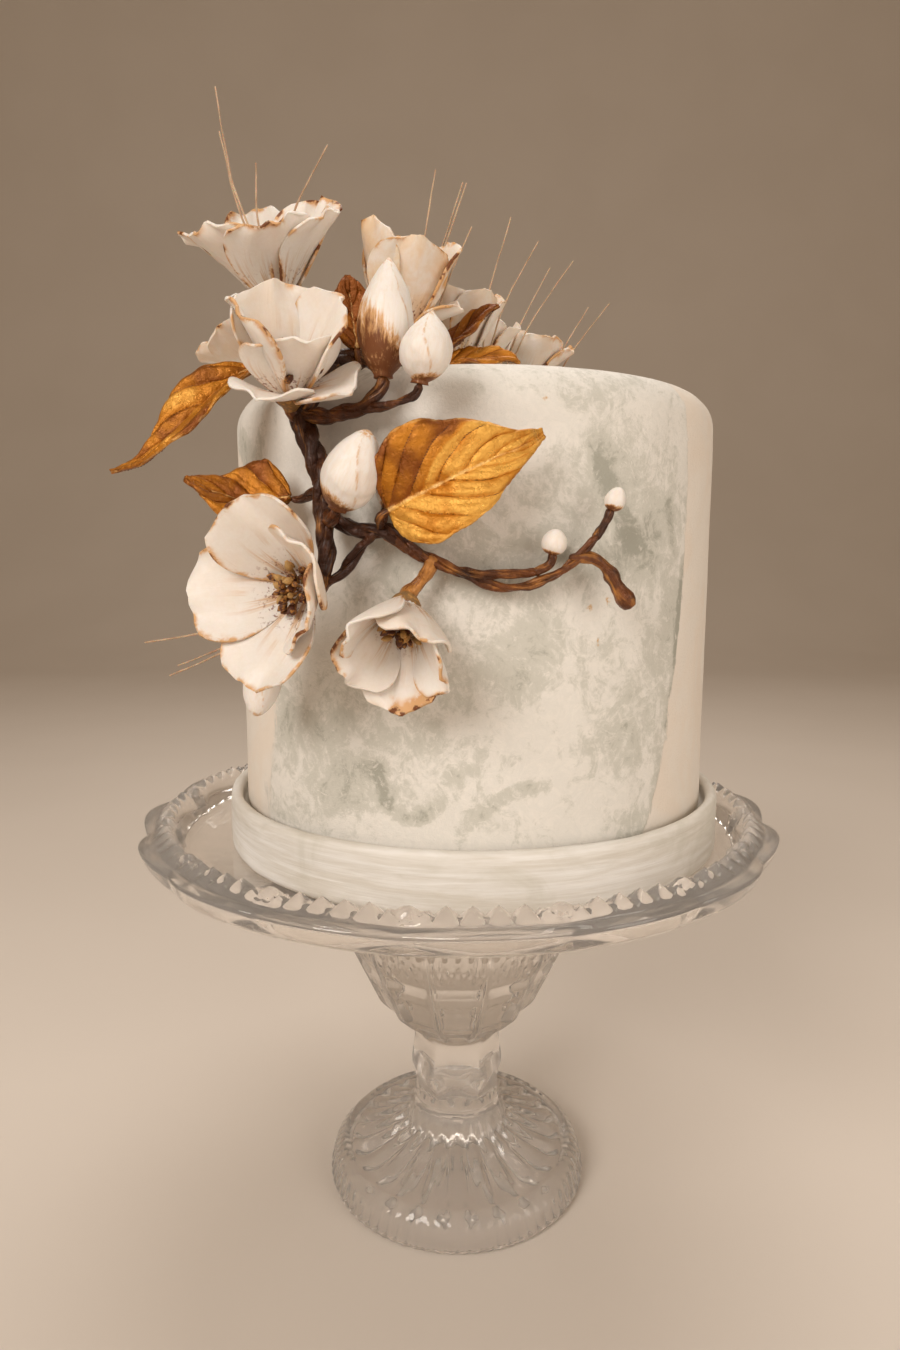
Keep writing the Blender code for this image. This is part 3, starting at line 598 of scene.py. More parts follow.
def build_stand(glass):
    centre, size, low, rim = middle_and_size("glass_stand")
    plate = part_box("cake_drum")[0].z / MM - GAP
    profile = stand_rows(size.x / 2 + 0.5, rim, plate)
    columns = SCALLOPS * TEETH * STEPS_A_TOOTH
    angle = np.arange(columns)[None, :] * TURN / columns + NOTCH_ANGLE
    radius = np.repeat(profile[:, :1], columns, axis=1)
    height = np.repeat(profile[:, 1:], columns, axis=1)
    upper = np.arange(len(profile))[:, None] < np.argmax(profile[:, 0])
    around = (angle - NOTCH_ANGLE) * SCALLOPS / TURN
    valley = 1 - np.abs(np.sin(np.pi * around))
    rim_share = np.clip((radius - RIM_INNER) / (size.x / 2 - RIM_INNER), 0, 1)
    lift = np.where(upper, rim_cut(radius, height, around, rim), 0) - SCALLOP_DIP * valley * rim_share
    out = -SCALLOP_NOTCH * valley * rim_share
    out += np.where(~upper & (radius < BOWL_RADIUS), bowl_cut(radius, height, angle), 0)
    side = TURN / NECK_SIDES
    facet = math.cos(side / 2) / np.cos((angle + side / 2) % side - side / 2)
    neck = between(height, NECK_LOW, NECK_HIGH, 5, 7) * ~upper
    out += radius * (facet - 1) * neck * NECK_CUT
    flute = (0.5 - 0.5 * np.cos(FLUTES * angle)) ** 1.5 * between(radius, FLUTE_INNER, FLUTE_OUTER, 5, 5)
    foot = ~upper & (height < FOOT_TOP) & (height > 1)
    lift += np.where(foot, 0.8 * hump(radius, FOOT_RING, 1.0) - FLUTE_DEPTH * flute, 0)
    rib = (0.5 + 0.5 * np.cos(FOOT_RIBS * angle)) * between(height, RIB_LOW, RIB_HIGH, 2.5, 3)
    out += np.where(~upper & (radius > RIB_INNER), -RIB_DEPTH * rib, 0)
    radius, height = radius + out, height + lift
    points = np.stack([centre.x + radius * np.sin(angle), -radius * np.cos(angle), height], axis=-1)
    points[..., 2] = np.clip(points[..., 2], low, rim)
    build = Builder()
    add_turned(build, points)
    build.piece("stand", glass, "cut_glass", "glass_stand")


# Cake and drum

CAKE_STEPS = 360
SHOULDER = 14.0
DRUM_RIM, DRUM_ROUNDING = 5.0, 2.4
# The paint's left and right edges, in degrees from the front, at each height. At the back it reaches as far
# as BACK_PAINT to both sides.
PAINT_LEVELS = [195, 210, 243, 285, 325, 350]
PAINT_LEFT, PAINT_RIGHT = [-56, -55, -50, -46, -60, -84], [38, 42, 46.5, 49.5, 51, 48]
BACK_PAINT = 84
# Places where the wash is darker, and lighter where the strength is negative: how far round, how high, how
# wide, how tall and how strong.
DABS = [
    (26, 324, 8, 14, 1.0), (36, 306, 8, 12, 0.8), (22, 297, 12, 9, 0.9), (3, 290, 9, 10, 0.7),
    (3, 258, 9, 12, 0.7), (13, 268, 8, 8, 0.7), (-24, 222, 5, 5, 0.9), (-31, 214, 8, 9, 1.0),
    (-3, 223, 5, 4, 0.8), (-14, 300, 8, 22, 0.7), (44, 268, 5, 24, 0.5), (-46, 238, 5, 14, 0.8),
    (-34, 236, 9, 12, 0.6), (-64, 338, 9, 9, 1.0), (33, 232, 9, 14, 0.5), (14, 240, 12, 8, -0.5),
    (-8, 194, 16, 9, -0.9), (20, 214, 9, 10, -0.4), (-12, 340, 22, 10, -0.9), (-40, 318, 9, 26, -1.0),
    (170, 300, 22, 30, 0.8), (205, 250, 18, 24, 0.8), (150, 240, 14, 18, 0.6), (192, 222, 12, 10, 0.7),
]
# Single strokes of the brush: the places that each runs through, its width in millimetres and its strength.
STROKES = [
    ([(-20.5, 224), (-20.3, 214), (-17.5, 207), (-13.5, 204.8), (-9.8, 207.5), (-8, 213)], 2.6, 0.9),
    ([(-5, 193), (-3.5, 203), (-0.9, 207), (4, 213.5), (9.2, 218.5), (13, 217)], 2.8, 0.7),
    ([(50, 296), (49.4, 282), (47.8, 262)], 2.6, 1.4),
    ([(47.4, 258), (46, 246), (44.8, 234)], 1.6, 1.0),
    ([(42.5, 224), (40.8, 208), (40, 198)], 2.4, 0.7),
    ([(23, 336), (24.5, 324), (28.4, 314), (32, 304)], 5.0, 0.7),
    ([(43, 316), (45.5, 300)], 3.0, 0.7),
]
FLECKS = [(22, 279.7, 1.6, 2.6), (26.2, 282.3, 1.5, 3.0), (24, 267.8, 1.0, 3.2), (12, 349, 1.6, 2.0)]


def rings(profile, steps, centre_x):
    """Points of a turned surface, and the angle of each round from the front."""
    angle = np.arange(steps)[None, :] * TURN / steps
    radius, height = profile[:, :1], profile[:, 1:]
    x, y = centre_x + radius * np.sin(angle), -radius * np.cos(angle)
    return np.stack([x, y, height + 0 * angle], axis=-1), angle + 0 * height


def rounded(radius, height, rounding, count=10):
    """Points of a rounded outer edge, from the level top down to the wall."""
    turns = [math.pi / 2 * i / count for i in range(count + 1)]
    inner, low = radius - rounding, height - rounding
    return [(inner + rounding * math.sin(a), low + rounding * math.cos(a)) for a in turns]


def stroke_cover(aside, height, stroke, radius):
    """How much of a brush stroke lies on each place, given as degrees from the front and height."""
    places, width, strength = stroke
    scale = np.array([math.radians(1) * radius, 1])
    path = resampled(np.array(places) * scale, 2.0, 4)
    gaps = [np.hypot(aside * scale[0] - x, height - z) for x, z in path]
    return strength * np.exp(-((np.min(gaps, axis=0) / width) ** 4))


def paint_values(angle, height, share, top, radius):
    """The cake's wash, how painted it is and its ochre flecks, each for every point."""
    from_front = np.degrees((angle + np.pi) % TURN - np.pi)
    wall = share > 0.8
    wash = np.zeros(angle.shape)
    for at, level, wide, tall, strength in DABS:
        gap = (from_front - at + 180) % 360 - 180
        wash += strength * np.exp(-((gap / wide) ** 2) - ((height - level) / tall) ** 2) * wall
    for stroke in STROKES:
        wash += stroke_cover(from_front, height, stroke, radius) * wall
    fleck = np.zeros(angle.shape)
    for at, level, wide, tall in FLECKS:
        fleck = np.maximum(fleck, np.exp(-(((from_front - at) / wide) ** 2) - ((height - level) / tall) ** 2))
    right = np.interp(height, PAINT_LEVELS, PAINT_RIGHT) - from_front
    left = from_front - np.interp(height, PAINT_LEVELS, PAINT_LEFT)
    behind = BACK_PAINT - np.abs(180 - np.abs(from_front))
    painted = smooth_step(right, -2, 3) * smooth_step(left, -4, 8)
    painted = np.maximum(painted, smooth_step(behind, -3, 5))
    painted = np.where((height > top - 6) & (share < 0.93), 0.62, painted)
    return wash, painted, fleck * wall


def build_cake(icing):
    centre, size, low, top = middle_and_size("cake")
    radius = size.x / 2
    outline = [(INNERMOST, top), (radius - SHOULDER - 1, top)] + rounded(radius, top, SHOULDER)[1:]
    outline += [(radius, low + 1.5), (radius - 1, low), (INNERMOST, low)]
    profile = resampled(outline, 1.5, 1)
    points, angle = rings(profile, CAKE_STEPS, centre.x)
    height = points[..., 2].copy()
    push = 0.35 * unevenness(points, 70, 3) + 0.10 * unevenness(points * (1, 1, 0.25), 9, 4)
    push = push * smooth_step(height, low, low + 4) - 0.25
    outwards = points - (centre.x, 0, 0)
    outwards[..., 2] = 0
    share = np.hypot(outwards[..., 0], outwards[..., 1]) / radius
    points[..., :2] += outwards[..., :2] / radius * push[..., None]
    points[..., 2] -= 0.35 * (1 + unevenness(points, 60, 5)) * (height > top - 3) * (1 - share)
    wash, painted, fleck = paint_values(angle, height, share, top, radius)
    build = Builder()
    add_turned(build, points, wash=wash, painted=painted, fleck=fleck * 0.6)
    build.piece("cake_icing", icing, "painted_icing", "cake")


def build_drum(icing):
    centre, size, low, top = middle_and_size("cake_drum")
    radius = size.x / 2
    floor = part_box("cake")[0].z / MM - GAP
    outer = rounded(radius, top, DRUM_ROUNDING, 6)
    outline = [(INNERMOST, floor), (radius - DRUM_RIM - 0.6, floor), (radius - DRUM_RIM, floor + 0.6)]
    outline += [(2 * radius - DRUM_RIM - r, z) for r, z in outer[::-1]]
    outline += outer + [(radius, low + 2), (radius - 1.5, low), (INNERMOST, low)]
    profile = resampled(outline, 0.9, 1)
    keep = (profile[:, 0] > radius - 12) | (np.arange(len(profile)) % 12 == 0)
    keep[[0, -1]] = True
    points, angle = rings(profile[keep], CAKE_STEPS, centre.x)
    outwards = points[..., :2] - (centre.x, 0)
    share = smooth_step(np.hypot(outwards[..., 0], outwards[..., 1]), radius - 8, radius - 4)
    push = 0.28 * unevenness(points, 55, 8) + 0.14 * unevenness(points * (0.25, 0.25, 1), 7, 9) - 0.3
    points[..., :2] += outwards / radius * (push * share)[..., None]
    points[..., 2] += 0.25 * unevenness(points, 40, 10) * share * (points[..., 2] > low + 3) - 0.2 * share
    points[..., 2] = np.maximum(points[..., 2], low)
    build = Builder()
    add_turned(build, points)
    build.piece("drum_icing", icing, "painted_icing", "cake_drum")


# Flowers

PETAL_FOOT, WIDEST = 0.22, 0.64  # the width at a petal's foot over its greatest, and how far up that is
PETAL_START, TIP_ROUNDING, RUFFLE, SHINGLE = 2.5, 0.12, 1.2, 2.0
PETAL = {"curl": 0, "cup": 0.7, "blunt": 0.45, "wave": 0.0, "burn": 1.0, "tint": 0.12, "frill": 0.5}
CORE_RADIUS, CORE_RISE = 5.0, 1.0
GOLDEN_TURN = math.pi * (3 - math.sqrt(5))
SLICES = 12


def slices(along):
    """The middles of equal slices from a petal's or leaf's foot to each place, to add its bend up over."""
    return along[..., None] * (np.arange(SLICES) + 0.5) / SLICES


def petal_surface(along, across, p):
    """Points of a petal in the flower's frame: +Z is the flower's axis and the petal leans to +X."""
    edge = 1 + 0.014 * np.sin(5 * across + 2 * p["wave"]) + 0.006 * np.sin(13 * across + 5 * p["wave"])
    tip = along * (1 - TIP_ROUNDING * across**2) * edge
    s = slices(tip)
    lean = p["open"][0] + (p["open"][1] - p["open"][0]) * s + p["curl"] * np.maximum(0, s - 0.7) / 0.3
    lean = np.radians(lean)
    radius = PETAL_START + p["length"] * tip * np.sin(lean).mean(axis=-1)
    height = p["length"] * tip * np.cos(lean).mean(axis=-1)
    lean = lean[..., -1]
    rising = PETAL_FOOT + (1 - PETAL_FOOT) * np.sin(np.pi / 2 * np.minimum(tip / WIDEST, 1)) ** 1.3
    falling = np.clip((tip - WIDEST) / (1 - WIDEST), 0, 1.2) ** 2 * (1 - p["blunt"] ** 2)
    outline = np.where(tip < WIDEST, rising, np.sqrt(np.maximum(1 - falling, 0.01)))
    outline = outline * (1 + 0.015 * np.sin(7 * along + 3 * p["wave"] + np.sign(across)) * along)
    bend = across * outline / (2 * p["cup"])
    side = p["width"] * p["cup"] * np.sin(bend)
    inward = p["width"] * p["cup"] * (1 - np.cos(bend))
    inward = inward + RUFFLE * tip**2 * np.sin(p["wave"] + 4.3 * across)
    inward = inward + p["frill"] * tip**4 * np.sin(3 * p["wave"] + 9 * across)
    inward = inward + 0.4 * p["frill"] * across**4 * tip * np.sin(13 * tip + 2 * p["wave"])
    inward = inward + 0.5 * tip * hump(across, 0.05, 0.1) + 0.12 * tip * (1 - tip) * np.cos(26 * across)
    inward = inward + SHINGLE * (0.5 + 0.5 * tip) * across
    return np.stack([radius - np.cos(lean) * inward, side, height + np.sin(lean) * inward], axis=-1), outline


def axes_at(base, x, y, z):
    """A matrix that moves the origin to base and turns the axes to these."""
    return Matrix.Translation(Vector(base)) @ Matrix((x, y, z)).transposed().to_4x4()


def frame_at(base, axis):
    """A matrix whose +Z is axis, whose +X points to the right and whose +Y points up, seen from the tip."""
    z = Vector(axis).normalized()
    y = UP - z * UP.dot(z)
    if y.length < 0.3:
        y = Vector((0, 1, 0)) - z * z.y
    y.normalize()
    return axes_at(base, y.cross(z), y, z)


def petal(turn, length, width, opening, **more):
    """A petal's place round the flower, its size, and how far it leans out at its foot and at its tip."""
    return {**PETAL, "turn": turn, "length": length, "width": width, "open": opening, **more}


def ring(count, first, *size, **more):
    """Petals spaced evenly round the flower, whose waves differ."""
    return [petal(first + 360 * i / count, *size, wave=1.7 * i, **more) for i in range(count)]


# Each flower has the point where its petals meet, the direction that it faces, the length of its stamens,
# and its petals.
FLOWERS = {
    "flower_open_left": ((-49, -112, 287), (-0.47, -0.88, 0.04), 8, [
        petal(110, 36, 35, (44, 46), cup=1.0, burn=1.2),
        petal(184, 37, 33, (50, 66), cup=1.0, wave=1.9),
        petal(256, 36, 35, (50, 60), cup=1.0, wave=3.0, burn=0.8),
        petal(330, 31, 31, (44, 26), cup=0.8, wave=4.1, burn=1.2),
        petal(34, 32, 32, (44, 28), cup=0.8, wave=5.2, burn=1.4, tint=0.35),
    ]),
    "flower_hanging": ((-18, -113, 281), (-0.10, -0.76, -0.64), 8, [
        petal(132, 30, 29, (44, 20), cup=0.62),
        petal(48, 30, 28, (42, 16), cup=0.62, wave=1.8, tint=0.3, burn=1.3),
        petal(204, 30, 26, (38, 28), wave=2.7, burn=1.2),
        petal(268, 33, 29, (40, 32), wave=3.9, burn=2.8),
        petal(336, 32, 26, (34, 22), wave=5.1, blunt=0.3),
    ]),
    "flower_tulip": ((-56, -98, 351), (0.12, -0.60, 0.79), 11, [
        petal(105, 33, 36, (28, 26), wave=0.5, burn=1.3, tint=0.3),
        petal(188, 34, 33, (26, 28), wave=1.6),
        petal(270, 26, 34, (26, 20), wave=2.2, burn=0.6),
        petal(8, 34, 33, (26, 24), wave=2.8, tint=0.2),
        petal(240, 19, 30, (68, 66), cup=1.0, wave=4.0, burn=0.6),
        petal(320, 25, 27, (70, 58), cup=1.0, wave=5.0, burn=0.8),
    ]),
    "flower_top_left": ((-66, -62, 389), (-0.10, -0.34, 0.93), 9, [
        petal(170, 43, 26, (46, 60), blunt=0.2, curl=20, burn=2.2),
        petal(112, 39, 34, (39, 40), wave=1.4, burn=1.3, frill=1.3),
        petal(55, 40, 34, (38, 40), wave=2.6, burn=1.6, frill=1.3),
        petal(358, 37, 33, (38, 48), wave=3.6, burn=1.5, frill=1.1),
        petal(300, 35, 34, (38, 46), wave=4.8, burn=1.2, frill=1.1),
        petal(236, 35, 34, (38, 46), wave=5.6, burn=1.2, frill=1.1),
    ]),
    "flower_top_centre": ((-23, -60, 378), (0.16, -0.12, 0.98), 9, [
        petal(200, 39, 29, (30, 10), blunt=0.25, burn=1.6, tint=0.8),
        petal(110, 38, 32, (26, 18), wave=1.3, burn=1.3, tint=0.5),
        petal(25, 38, 32, (30, 14), wave=2.4, burn=1.3, tint=0.5),
        petal(285, 34, 32, (30, 14), wave=3.5, burn=1.6, tint=0.7),
        petal(345, 24, 20, (60, 60), wave=4.4, tint=0.4),
    ]),
    "flower_behind_left": ((-73, -32, 371), (-0.55, -0.16, 0.82), 8,
                           ring(5, 185, 30, 26, (48, 38), tint=0.5)),
    "flower_back_a": ((-1, -21, 374.5), (0.12, -0.12, 0.98), 9,
                      ring(5, 90, 32, 24, (28, 20), burn=1.4, tint=0.5)),
    "flower_back_b": ((7.5, 12.5, 374), (0.14, -0.10, 0.98), 9,
                      ring(5, 60, 30, 23, (28, 28), burn=1.4, tint=0.4)),
    "flower_back_c": ((30, 44, 374), (0.20, -0.05, 0.97), 9,
                      ring(5, 75, 32, 27, (30, 40), burn=1.6, tint=0.4)),
    "flower_back_d": ((-4, 58, 373), (-0.12, 0.42, 0.9), 9,
                      ring(5, 20, 31, 27, (34, 44), burn=1.4, tint=0.3)),
}
PETAL_ROWS, PETAL_COLUMNS = 30, 27
PETAL_THICK, PETAL_THIN = 1.4, 0.95
EDGE_REACH = 1.4


def add_petal(build, p, matrix):
    along = np.sin(np.pi / 2 * np.linspace(0, 1, PETAL_ROWS)) ** 0.9
    spread = np.sin(np.pi / 2 * np.linspace(-1, 1, PETAL_COLUMNS))
    along, across = np.meshgrid(along, spread, indexing="ij")
    surface, outline = petal_surface(along, across, p)
    beside = (1 - np.abs(across)) * outline * p["width"] / 2
    beyond = (1 - along) * p["length"]
    rim = np.minimum(beside, beyond)
    thickness = PETAL_THIN + (PETAL_THICK - PETAL_THIN) * smooth_step(rim, 0, 4)
    turned = matrix @ Matrix.Rotation(math.radians(p["turn"]), 4, "Z")
    edge = np.exp(-rim / (EDGE_REACH * max(1, p["burn"] - 0.3)))
    add_shell(build, surface, thickness, turned, edge=edge, foot=(1 - along) ** 1.3, burn=p["burn"],
              tint=p["tint"], across=across * p["width"] / 2, along=along * p["length"])


STAMENS = 30


def build_stamens(name, matrix, length, dark, draw):
    """Threads with lumpy anthers round a blunt pistil, and the brown cup that the flower sits in."""
    build = Builder()
    for i in range(STAMENS):
        lean = math.radians(10 + 46 * (i / STAMENS) ** 0.8 + draw.uniform(-6, 6))
        turn = i * GOLDEN_TURN + draw.uniform(-0.3, 0.3)
        out = np.array([math.sin(lean) * math.cos(turn), math.sin(lean) * math.sin(turn), math.cos(lean)])
        foot = np.array([0, 0, CORE_RISE + 1.5]) + out * 2.5
        tip = foot + out * length * draw.uniform(0.6, 1.05)
        bow = (foot + tip) / 2 + draw.uniform(-1.0, 1.0, 3)
        thread = transformed(matrix, resampled([foot, bow, tip], 1.6, 2))
        add_tube(build, thread, 0.36, 5, pale=draw.choice([0.1, 0.5]))
        axis = np.array(matrix.to_3x3() @ Vector(out + draw.uniform(-0.7, 0.7, 3)).normalized())
        add_grain(build, thread[-1], axis, draw.uniform(3.0, 4.6), draw.uniform(1.9, 2.9),
                  pale=draw.choice([0.0, 0.0, 0.6]))
    levels = np.linspace(0, 1, 7)
    core = transformed(matrix, np.outer(levels * (CORE_RISE + 0.6 * length), (0, 0, 1)))
    add_tube(build, core, 3.2 * np.sqrt(1 - 0.85 * levels**2), 12, pale=0.25)
    cup = transformed(matrix, np.outer([-6.5, -4.8, -3.0, -1.2, 0.2], (0, 0, 1)))
    add_tube(build, cup, [2.0, 3.0, 4.4, 5.3, 5.5], 14, pale=0.3)
    build.piece(name + "_stamens", dark, "branch_bark")


def build_flower(name, sugar, dark, draw):
    base, axis, stamens, petals = FLOWERS[name]
    matrix = frame_at(base, axis)
    build = Builder()
    for p in petals:
        add_petal(build, p, matrix)
    levels = np.linspace(-1, 1, 11)
    core = transformed(matrix, np.outer(CORE_RISE + levels * 0.96 * CORE_RADIUS, (0, 0, 1)))
    add_tube(build, core, CORE_RADIUS * np.sqrt(1 - (0.96 * levels) ** 2), 20, edge=0.2, foot=0.9, burn=1.0)
    build.piece(name + "_petals", sugar, "sugar_petal", name)
    build_stamens(name, matrix, stamens, dark, draw)


# Buds

# Each bud has its base, the direction of its tip, its length and width, how blunt its tip is, how far up the
# brown reaches, and the side on which it reaches furthest.
BUDS = {
    "bud_tall": ((-24.6, -106, 354), (0.06, 0.02, 1.0), 37, 18, 0.75, 0.42, 180),
    "bud_small": ((-12.7, -115.2, 350.5), (0.2, -0.12, 0.97), 22, 16.5, 0.9, 0.13, 0),
    "bud_centre": ((-39.4, -112, 312.5), (0.40, -0.25, 0.85), 27, 18.5, 0.6, 0.17, 140),
    "bud_hidden": ((-24.5, -103.5, 313), (0.16, -0.02, 1.0), 26, 10, 0.6, 0.12, 0),
    "bud_below": ((-66, -96, 263), (-0.22, -0.1, -0.96), 21, 13, 0.5, 0.16, 0),
    "bud_twig_near": ((30.5, -106.5, 298), (0.1, -0.1, 1.0), 8.5, 8.5, 0.5, 0.16, 180),
    "bud_twig_far": ((49.8, -103, 312.4), (0.35, -0.1, 0.92), 8, 7, 0.5, 0.22, 250),
    "bud_back": ((50, 66, 368), (0.5, 0.6, 0.62), 22, 13, 0.6, 0.3, 0),
}
BUD_STEPS, BUD_ROWS = 96, 44
BUD_PETALS, BUD_SEAM = 3, 0.93  # the petals wrapped round a bud, and where across each its seam lies


def bud_radius(level, bluntness):
    """Half the bud's width over its greatest half width, at a level from 0 at the base to 1 at the tip."""
    return np.maximum(0.34 * (1 - level) ** 2, np.sin(np.pi * level**0.82) ** bluntness)


def build_bud(name, sugar, order):
    base, direction, length, width, bluntness, brown, side = BUDS[name]
    level = np.linspace(0.004, 0.996, BUD_ROWS)[::-1, None]
    angle = np.arange(BUD_STEPS)[None, :] * TURN / BUD_STEPS
    overlap = (BUD_PETALS * angle / TURN + 0.55 * level + 0.37 * order) % 1
    step = np.where(overlap < BUD_SEAM, overlap / BUD_SEAM, (1 - overlap) / (1 - BUD_SEAM))
    ridges = 0.5 + 0.5 * np.cos(17 * angle + 3 * level)
    wide = smooth_step(width, 9, 13)
    shape = 1 + wide * (0.045 * (step - 0.5) * smooth_step(level, 0.0, 0.3) + 0.005 * (ridges - 0.5))
    girth = bud_radius(level, bluntness) * width / 2 * shape
    points = np.stack([girth * np.cos(angle), girth * np.sin(angle), level * length + 0 * angle], axis=-1)
    points = points + 0.02 * width * unevenness(points, 12, 20 + order)[..., None]
    edge = np.maximum(hump(overlap, BUD_SEAM, 0.04) * 0.8, smooth_step(level, 0.86, 1.0) + 0 * angle) * wide
    reach = brown * (1 + 0.5 * np.cos(angle - math.radians(side)))
    foot = 1 - smooth_step(level, reach * 0.35, reach * 1.5)
    build = Builder()
    matrix = frame_at(base, direction)
    placed = transformed(matrix, points.reshape(-1, 3)).reshape(points.shape)
    spots = {"run": points[..., 2], "round": points[..., 0], "aside": points[..., 1]}
    add_turned(build, placed, edge=edge, foot=foot, **spots)
    build.piece(name + "_sugar", sugar, "sugar_petal", name)


# Leaves

# A leaf's shade darkens all its gold: partly its own darker gold, and painted shade for the leaves that sit
# between and behind the flowers.
LEAF = {"fullness": 0.8, "twist": 0, "wave": 1.5, "waves": 2.5, "lopsided": 0.0, "bow": 0.0, "late": 1.0,
        "point": 0.3, "hook": 0.0, "shade": 0.1, "dark": 0.0, "veins": 4}


def leaf(length, width, bend, fold, **more):
    """A leaf's size, how far it rises at its base and at its tip, and how far its halves fold up."""
    return {**LEAF, "length": length, "width": width, "bend": bend, "fold": fold, **more}


# Each leaf has its base, the direction of its tip, the direction that its upper face looks, and its shape.
LEAVES = {
    "leaf_front": ((-22.4, -114.5, 312), (0.90, 0.02, 0.42), (0.08, -0.98, 0.1),
                   leaf(57, 38, (26, -34), 16, fullness=0.55, lopsided=0.1, point=0.75, dark=0.6, shade=0.05,
                        veins=6, hook=-2.0)),
    "leaf_left": ((-73, -77, 362), (-0.78, -0.12, -0.56), (-0.30, -0.85, 0.42),
                  leaf(62, 25, (10, -20), 28, twist=24, bow=6, late=1.7, point=1.7, hook=6.0, shade=0.5)),
    "leaf_behind_flower": ((-58, -90, 317), (-0.95, -0.12, 0.10), (0.05, -0.75, 0.66),
                           leaf(38, 28, (-30, 42), 20, fullness=0.6, wave=3.5, waves=2, shade=0.6)),
    "leaf_dark": ((-36, -78, 369), (-0.12, 0.05, 0.99), (0.3, -0.95, 0.1),
                  leaf(25, 20, (-8, 10), 14, shade=1.0)),
    "leaf_top_a": ((-7, -42, 371), (0.70, -0.1, 0.70), (-0.6, -0.5, 0.6),
                   leaf(31, 17, (4, -8), 26, shade=0.9)),
    "leaf_top_b": ((-5, -50, 367), (0.96, -0.05, 0.18), (-0.1, -0.6, 0.8),
                   leaf(29, 15, (14, -26), 24, shade=0.4)),
    "leaf_back": ((52, 42, 369), (0.78, 0.42, 0.2), (-0.15, 0.1, 0.98), leaf(38, 22, (22, -34), 20)),
    "leaf_back_left": ((-20, 54, 368.5), (-0.78, 0.5, 0.22), (0.1, 0.1, 0.98), leaf(42, 24, (20, -30), 20)),
}
ROWS_A_MM, COLUMNS_A_MM = 1.9, 1.8
LEAF_THICK, LEAF_THIN = 1.3, 0.7
VEIN_SWEEP = 0.42  # how far a vein runs on towards the tip, over the leaf's length, between midrib and edge
DARK_PANEL = 0.21  # where the dark part of a leaf's upper half ends, along the midrib


def leaf_surface(along, across, p):
    """Points of a leaf, where +X runs from its base and +Z is its upper face, and its values."""
    slope = np.radians(p["bend"][0] + (p["bend"][1] - p["bend"][0]) * slices(along))
    x = p["length"] * along * np.cos(slope).mean(axis=-1)
    z = p["length"] * along * np.sin(slope).mean(axis=-1)
    slope = slope[..., -1]
    outline = 0.10 + 0.90 * np.sin(np.pi * along ** p["fullness"]) ** (0.8 + p["point"] * along)
    outline = outline * (1 + 0.025 * np.sin(19 * along + 2 * np.sign(across)) + 0.015 * np.sin(37 * along))
    reach = across * outline * p["width"] / 2 * (1 + p["lopsided"] * np.sign(across))
    fold = math.radians(p["fold"])
    phase = np.where(across > 0, 1.1, 0)
    wave = p["wave"] * outline * np.sin(p["waves"] * np.pi * along + phase) * across**2
    vein = p["veins"] * (along - VEIN_SWEEP * np.abs(across)) + 0.25 * np.sign(across)
    within = vein % 1
    middle = smooth_step(np.abs(across), 0.02, 0.14) * (1 - smooth_step(np.abs(across), 0.82, 1.0))
    middle = middle * smooth_step(along, 0.03, 0.12) * (1 - smooth_step(along, 0.9, 0.97))
    pillow = np.sqrt(np.clip(1 - (2 * within - 1) ** 2, 0, 1)) * middle
    # Painted shade: dark lines in the creases between the panels; the return adds painted shade in the
    # wrinkles' troughs.
    crease = (1 - smooth_step(np.minimum(within, 1 - within), 0.0, 0.09)) * middle
    midrib = hump(across * outline, 0, 0.05) * (1 - smooth_step(along, 0.85, 1.0))
    flat = np.stack([x, reach, 0 * x], axis=-1)
    crinkle = unevenness(flat, 13, 31, 2) * outline
    wrinkle = unevenness(np.stack([vein * 11, reach * 0.4, 0 * x], axis=-1), 5, 32) * outline
    side = reach * math.cos(fold)
    lift = np.abs(reach) * math.sin(fold) + wave + 1.2 * pillow + 0.8 * midrib + 0.7 * crinkle + 0.4 * wrinkle
    twist = np.radians(p["twist"] * along)
    y = side * np.cos(twist) - lift * np.sin(twist) + p["bow"] * np.sin(np.pi * along ** p["late"])
    y = y - p["hook"] * smooth_step(along, 0.78, 1.1)
    up = side * np.sin(twist) + lift * np.cos(twist)
    surface = np.stack([x - up * np.sin(slope), y, z + up * np.cos(slope)], axis=-1)
    tone = np.sin(2.6 * np.floor(vein) + 1.7 * np.sign(across))
    dark = p["dark"] * smooth_step(DARK_PANEL - (along - VEIN_SWEEP * across), -0.02, 0.02) * (across > 0)
    # Random tone from panel to panel, with painted shade where the crinkles and the pillows between the veins
    # sink, and the dark panel.
    shade = p["shade"] + 0.25 + 0.16 * tone - 0.3 * crinkle - 0.3 * (pillow - 0.5) * middle + dark
    # Painted highlight on the midrib and on the wrinkles' crests.
    ridge = np.maximum(0.8 * midrib, 0.5 * smooth_step(wrinkle, 0.4, 1.2))
    return surface, ridge, np.maximum(crease, 0.4 * smooth_step(-wrinkle, 0.5, 1.2)), shade


def leaf_frame(base, direction, face):
    x = Vector(direction).normalized()
    z = (Vector(face) - x * Vector(face).dot(x)).normalized()
    return axes_at(base, x, z.cross(x), z)


def build_leaf(name, gold):
    base, direction, face, p = LEAVES[name]
    rows, columns = round(p["length"] * ROWS_A_MM), 2 * round(p["width"] * COLUMNS_A_MM / 2) + 1
    along, across = np.meshgrid(np.linspace(0, 1, rows), np.linspace(-1, 1, columns), indexing="ij")
    surface, ridge, crease, shade = leaf_surface(along, across, p)
    rim = smooth_step(1 - np.abs(across), 0, 0.12)
    build = Builder()
    # The pale painted highlight also runs along the leaf's edges.
    add_shell(build, surface, LEAF_THIN + (LEAF_THICK - LEAF_THIN) * rim, leaf_frame(base, direction, face),
              ridge=np.maximum(ridge, 0.6 * (1 - rim)), crease=crease, shade=shade)
    build.piece(name + "_gilded", gold, "gilded_leaf", name)


# Branch

HUB = (-54, -91, 344)
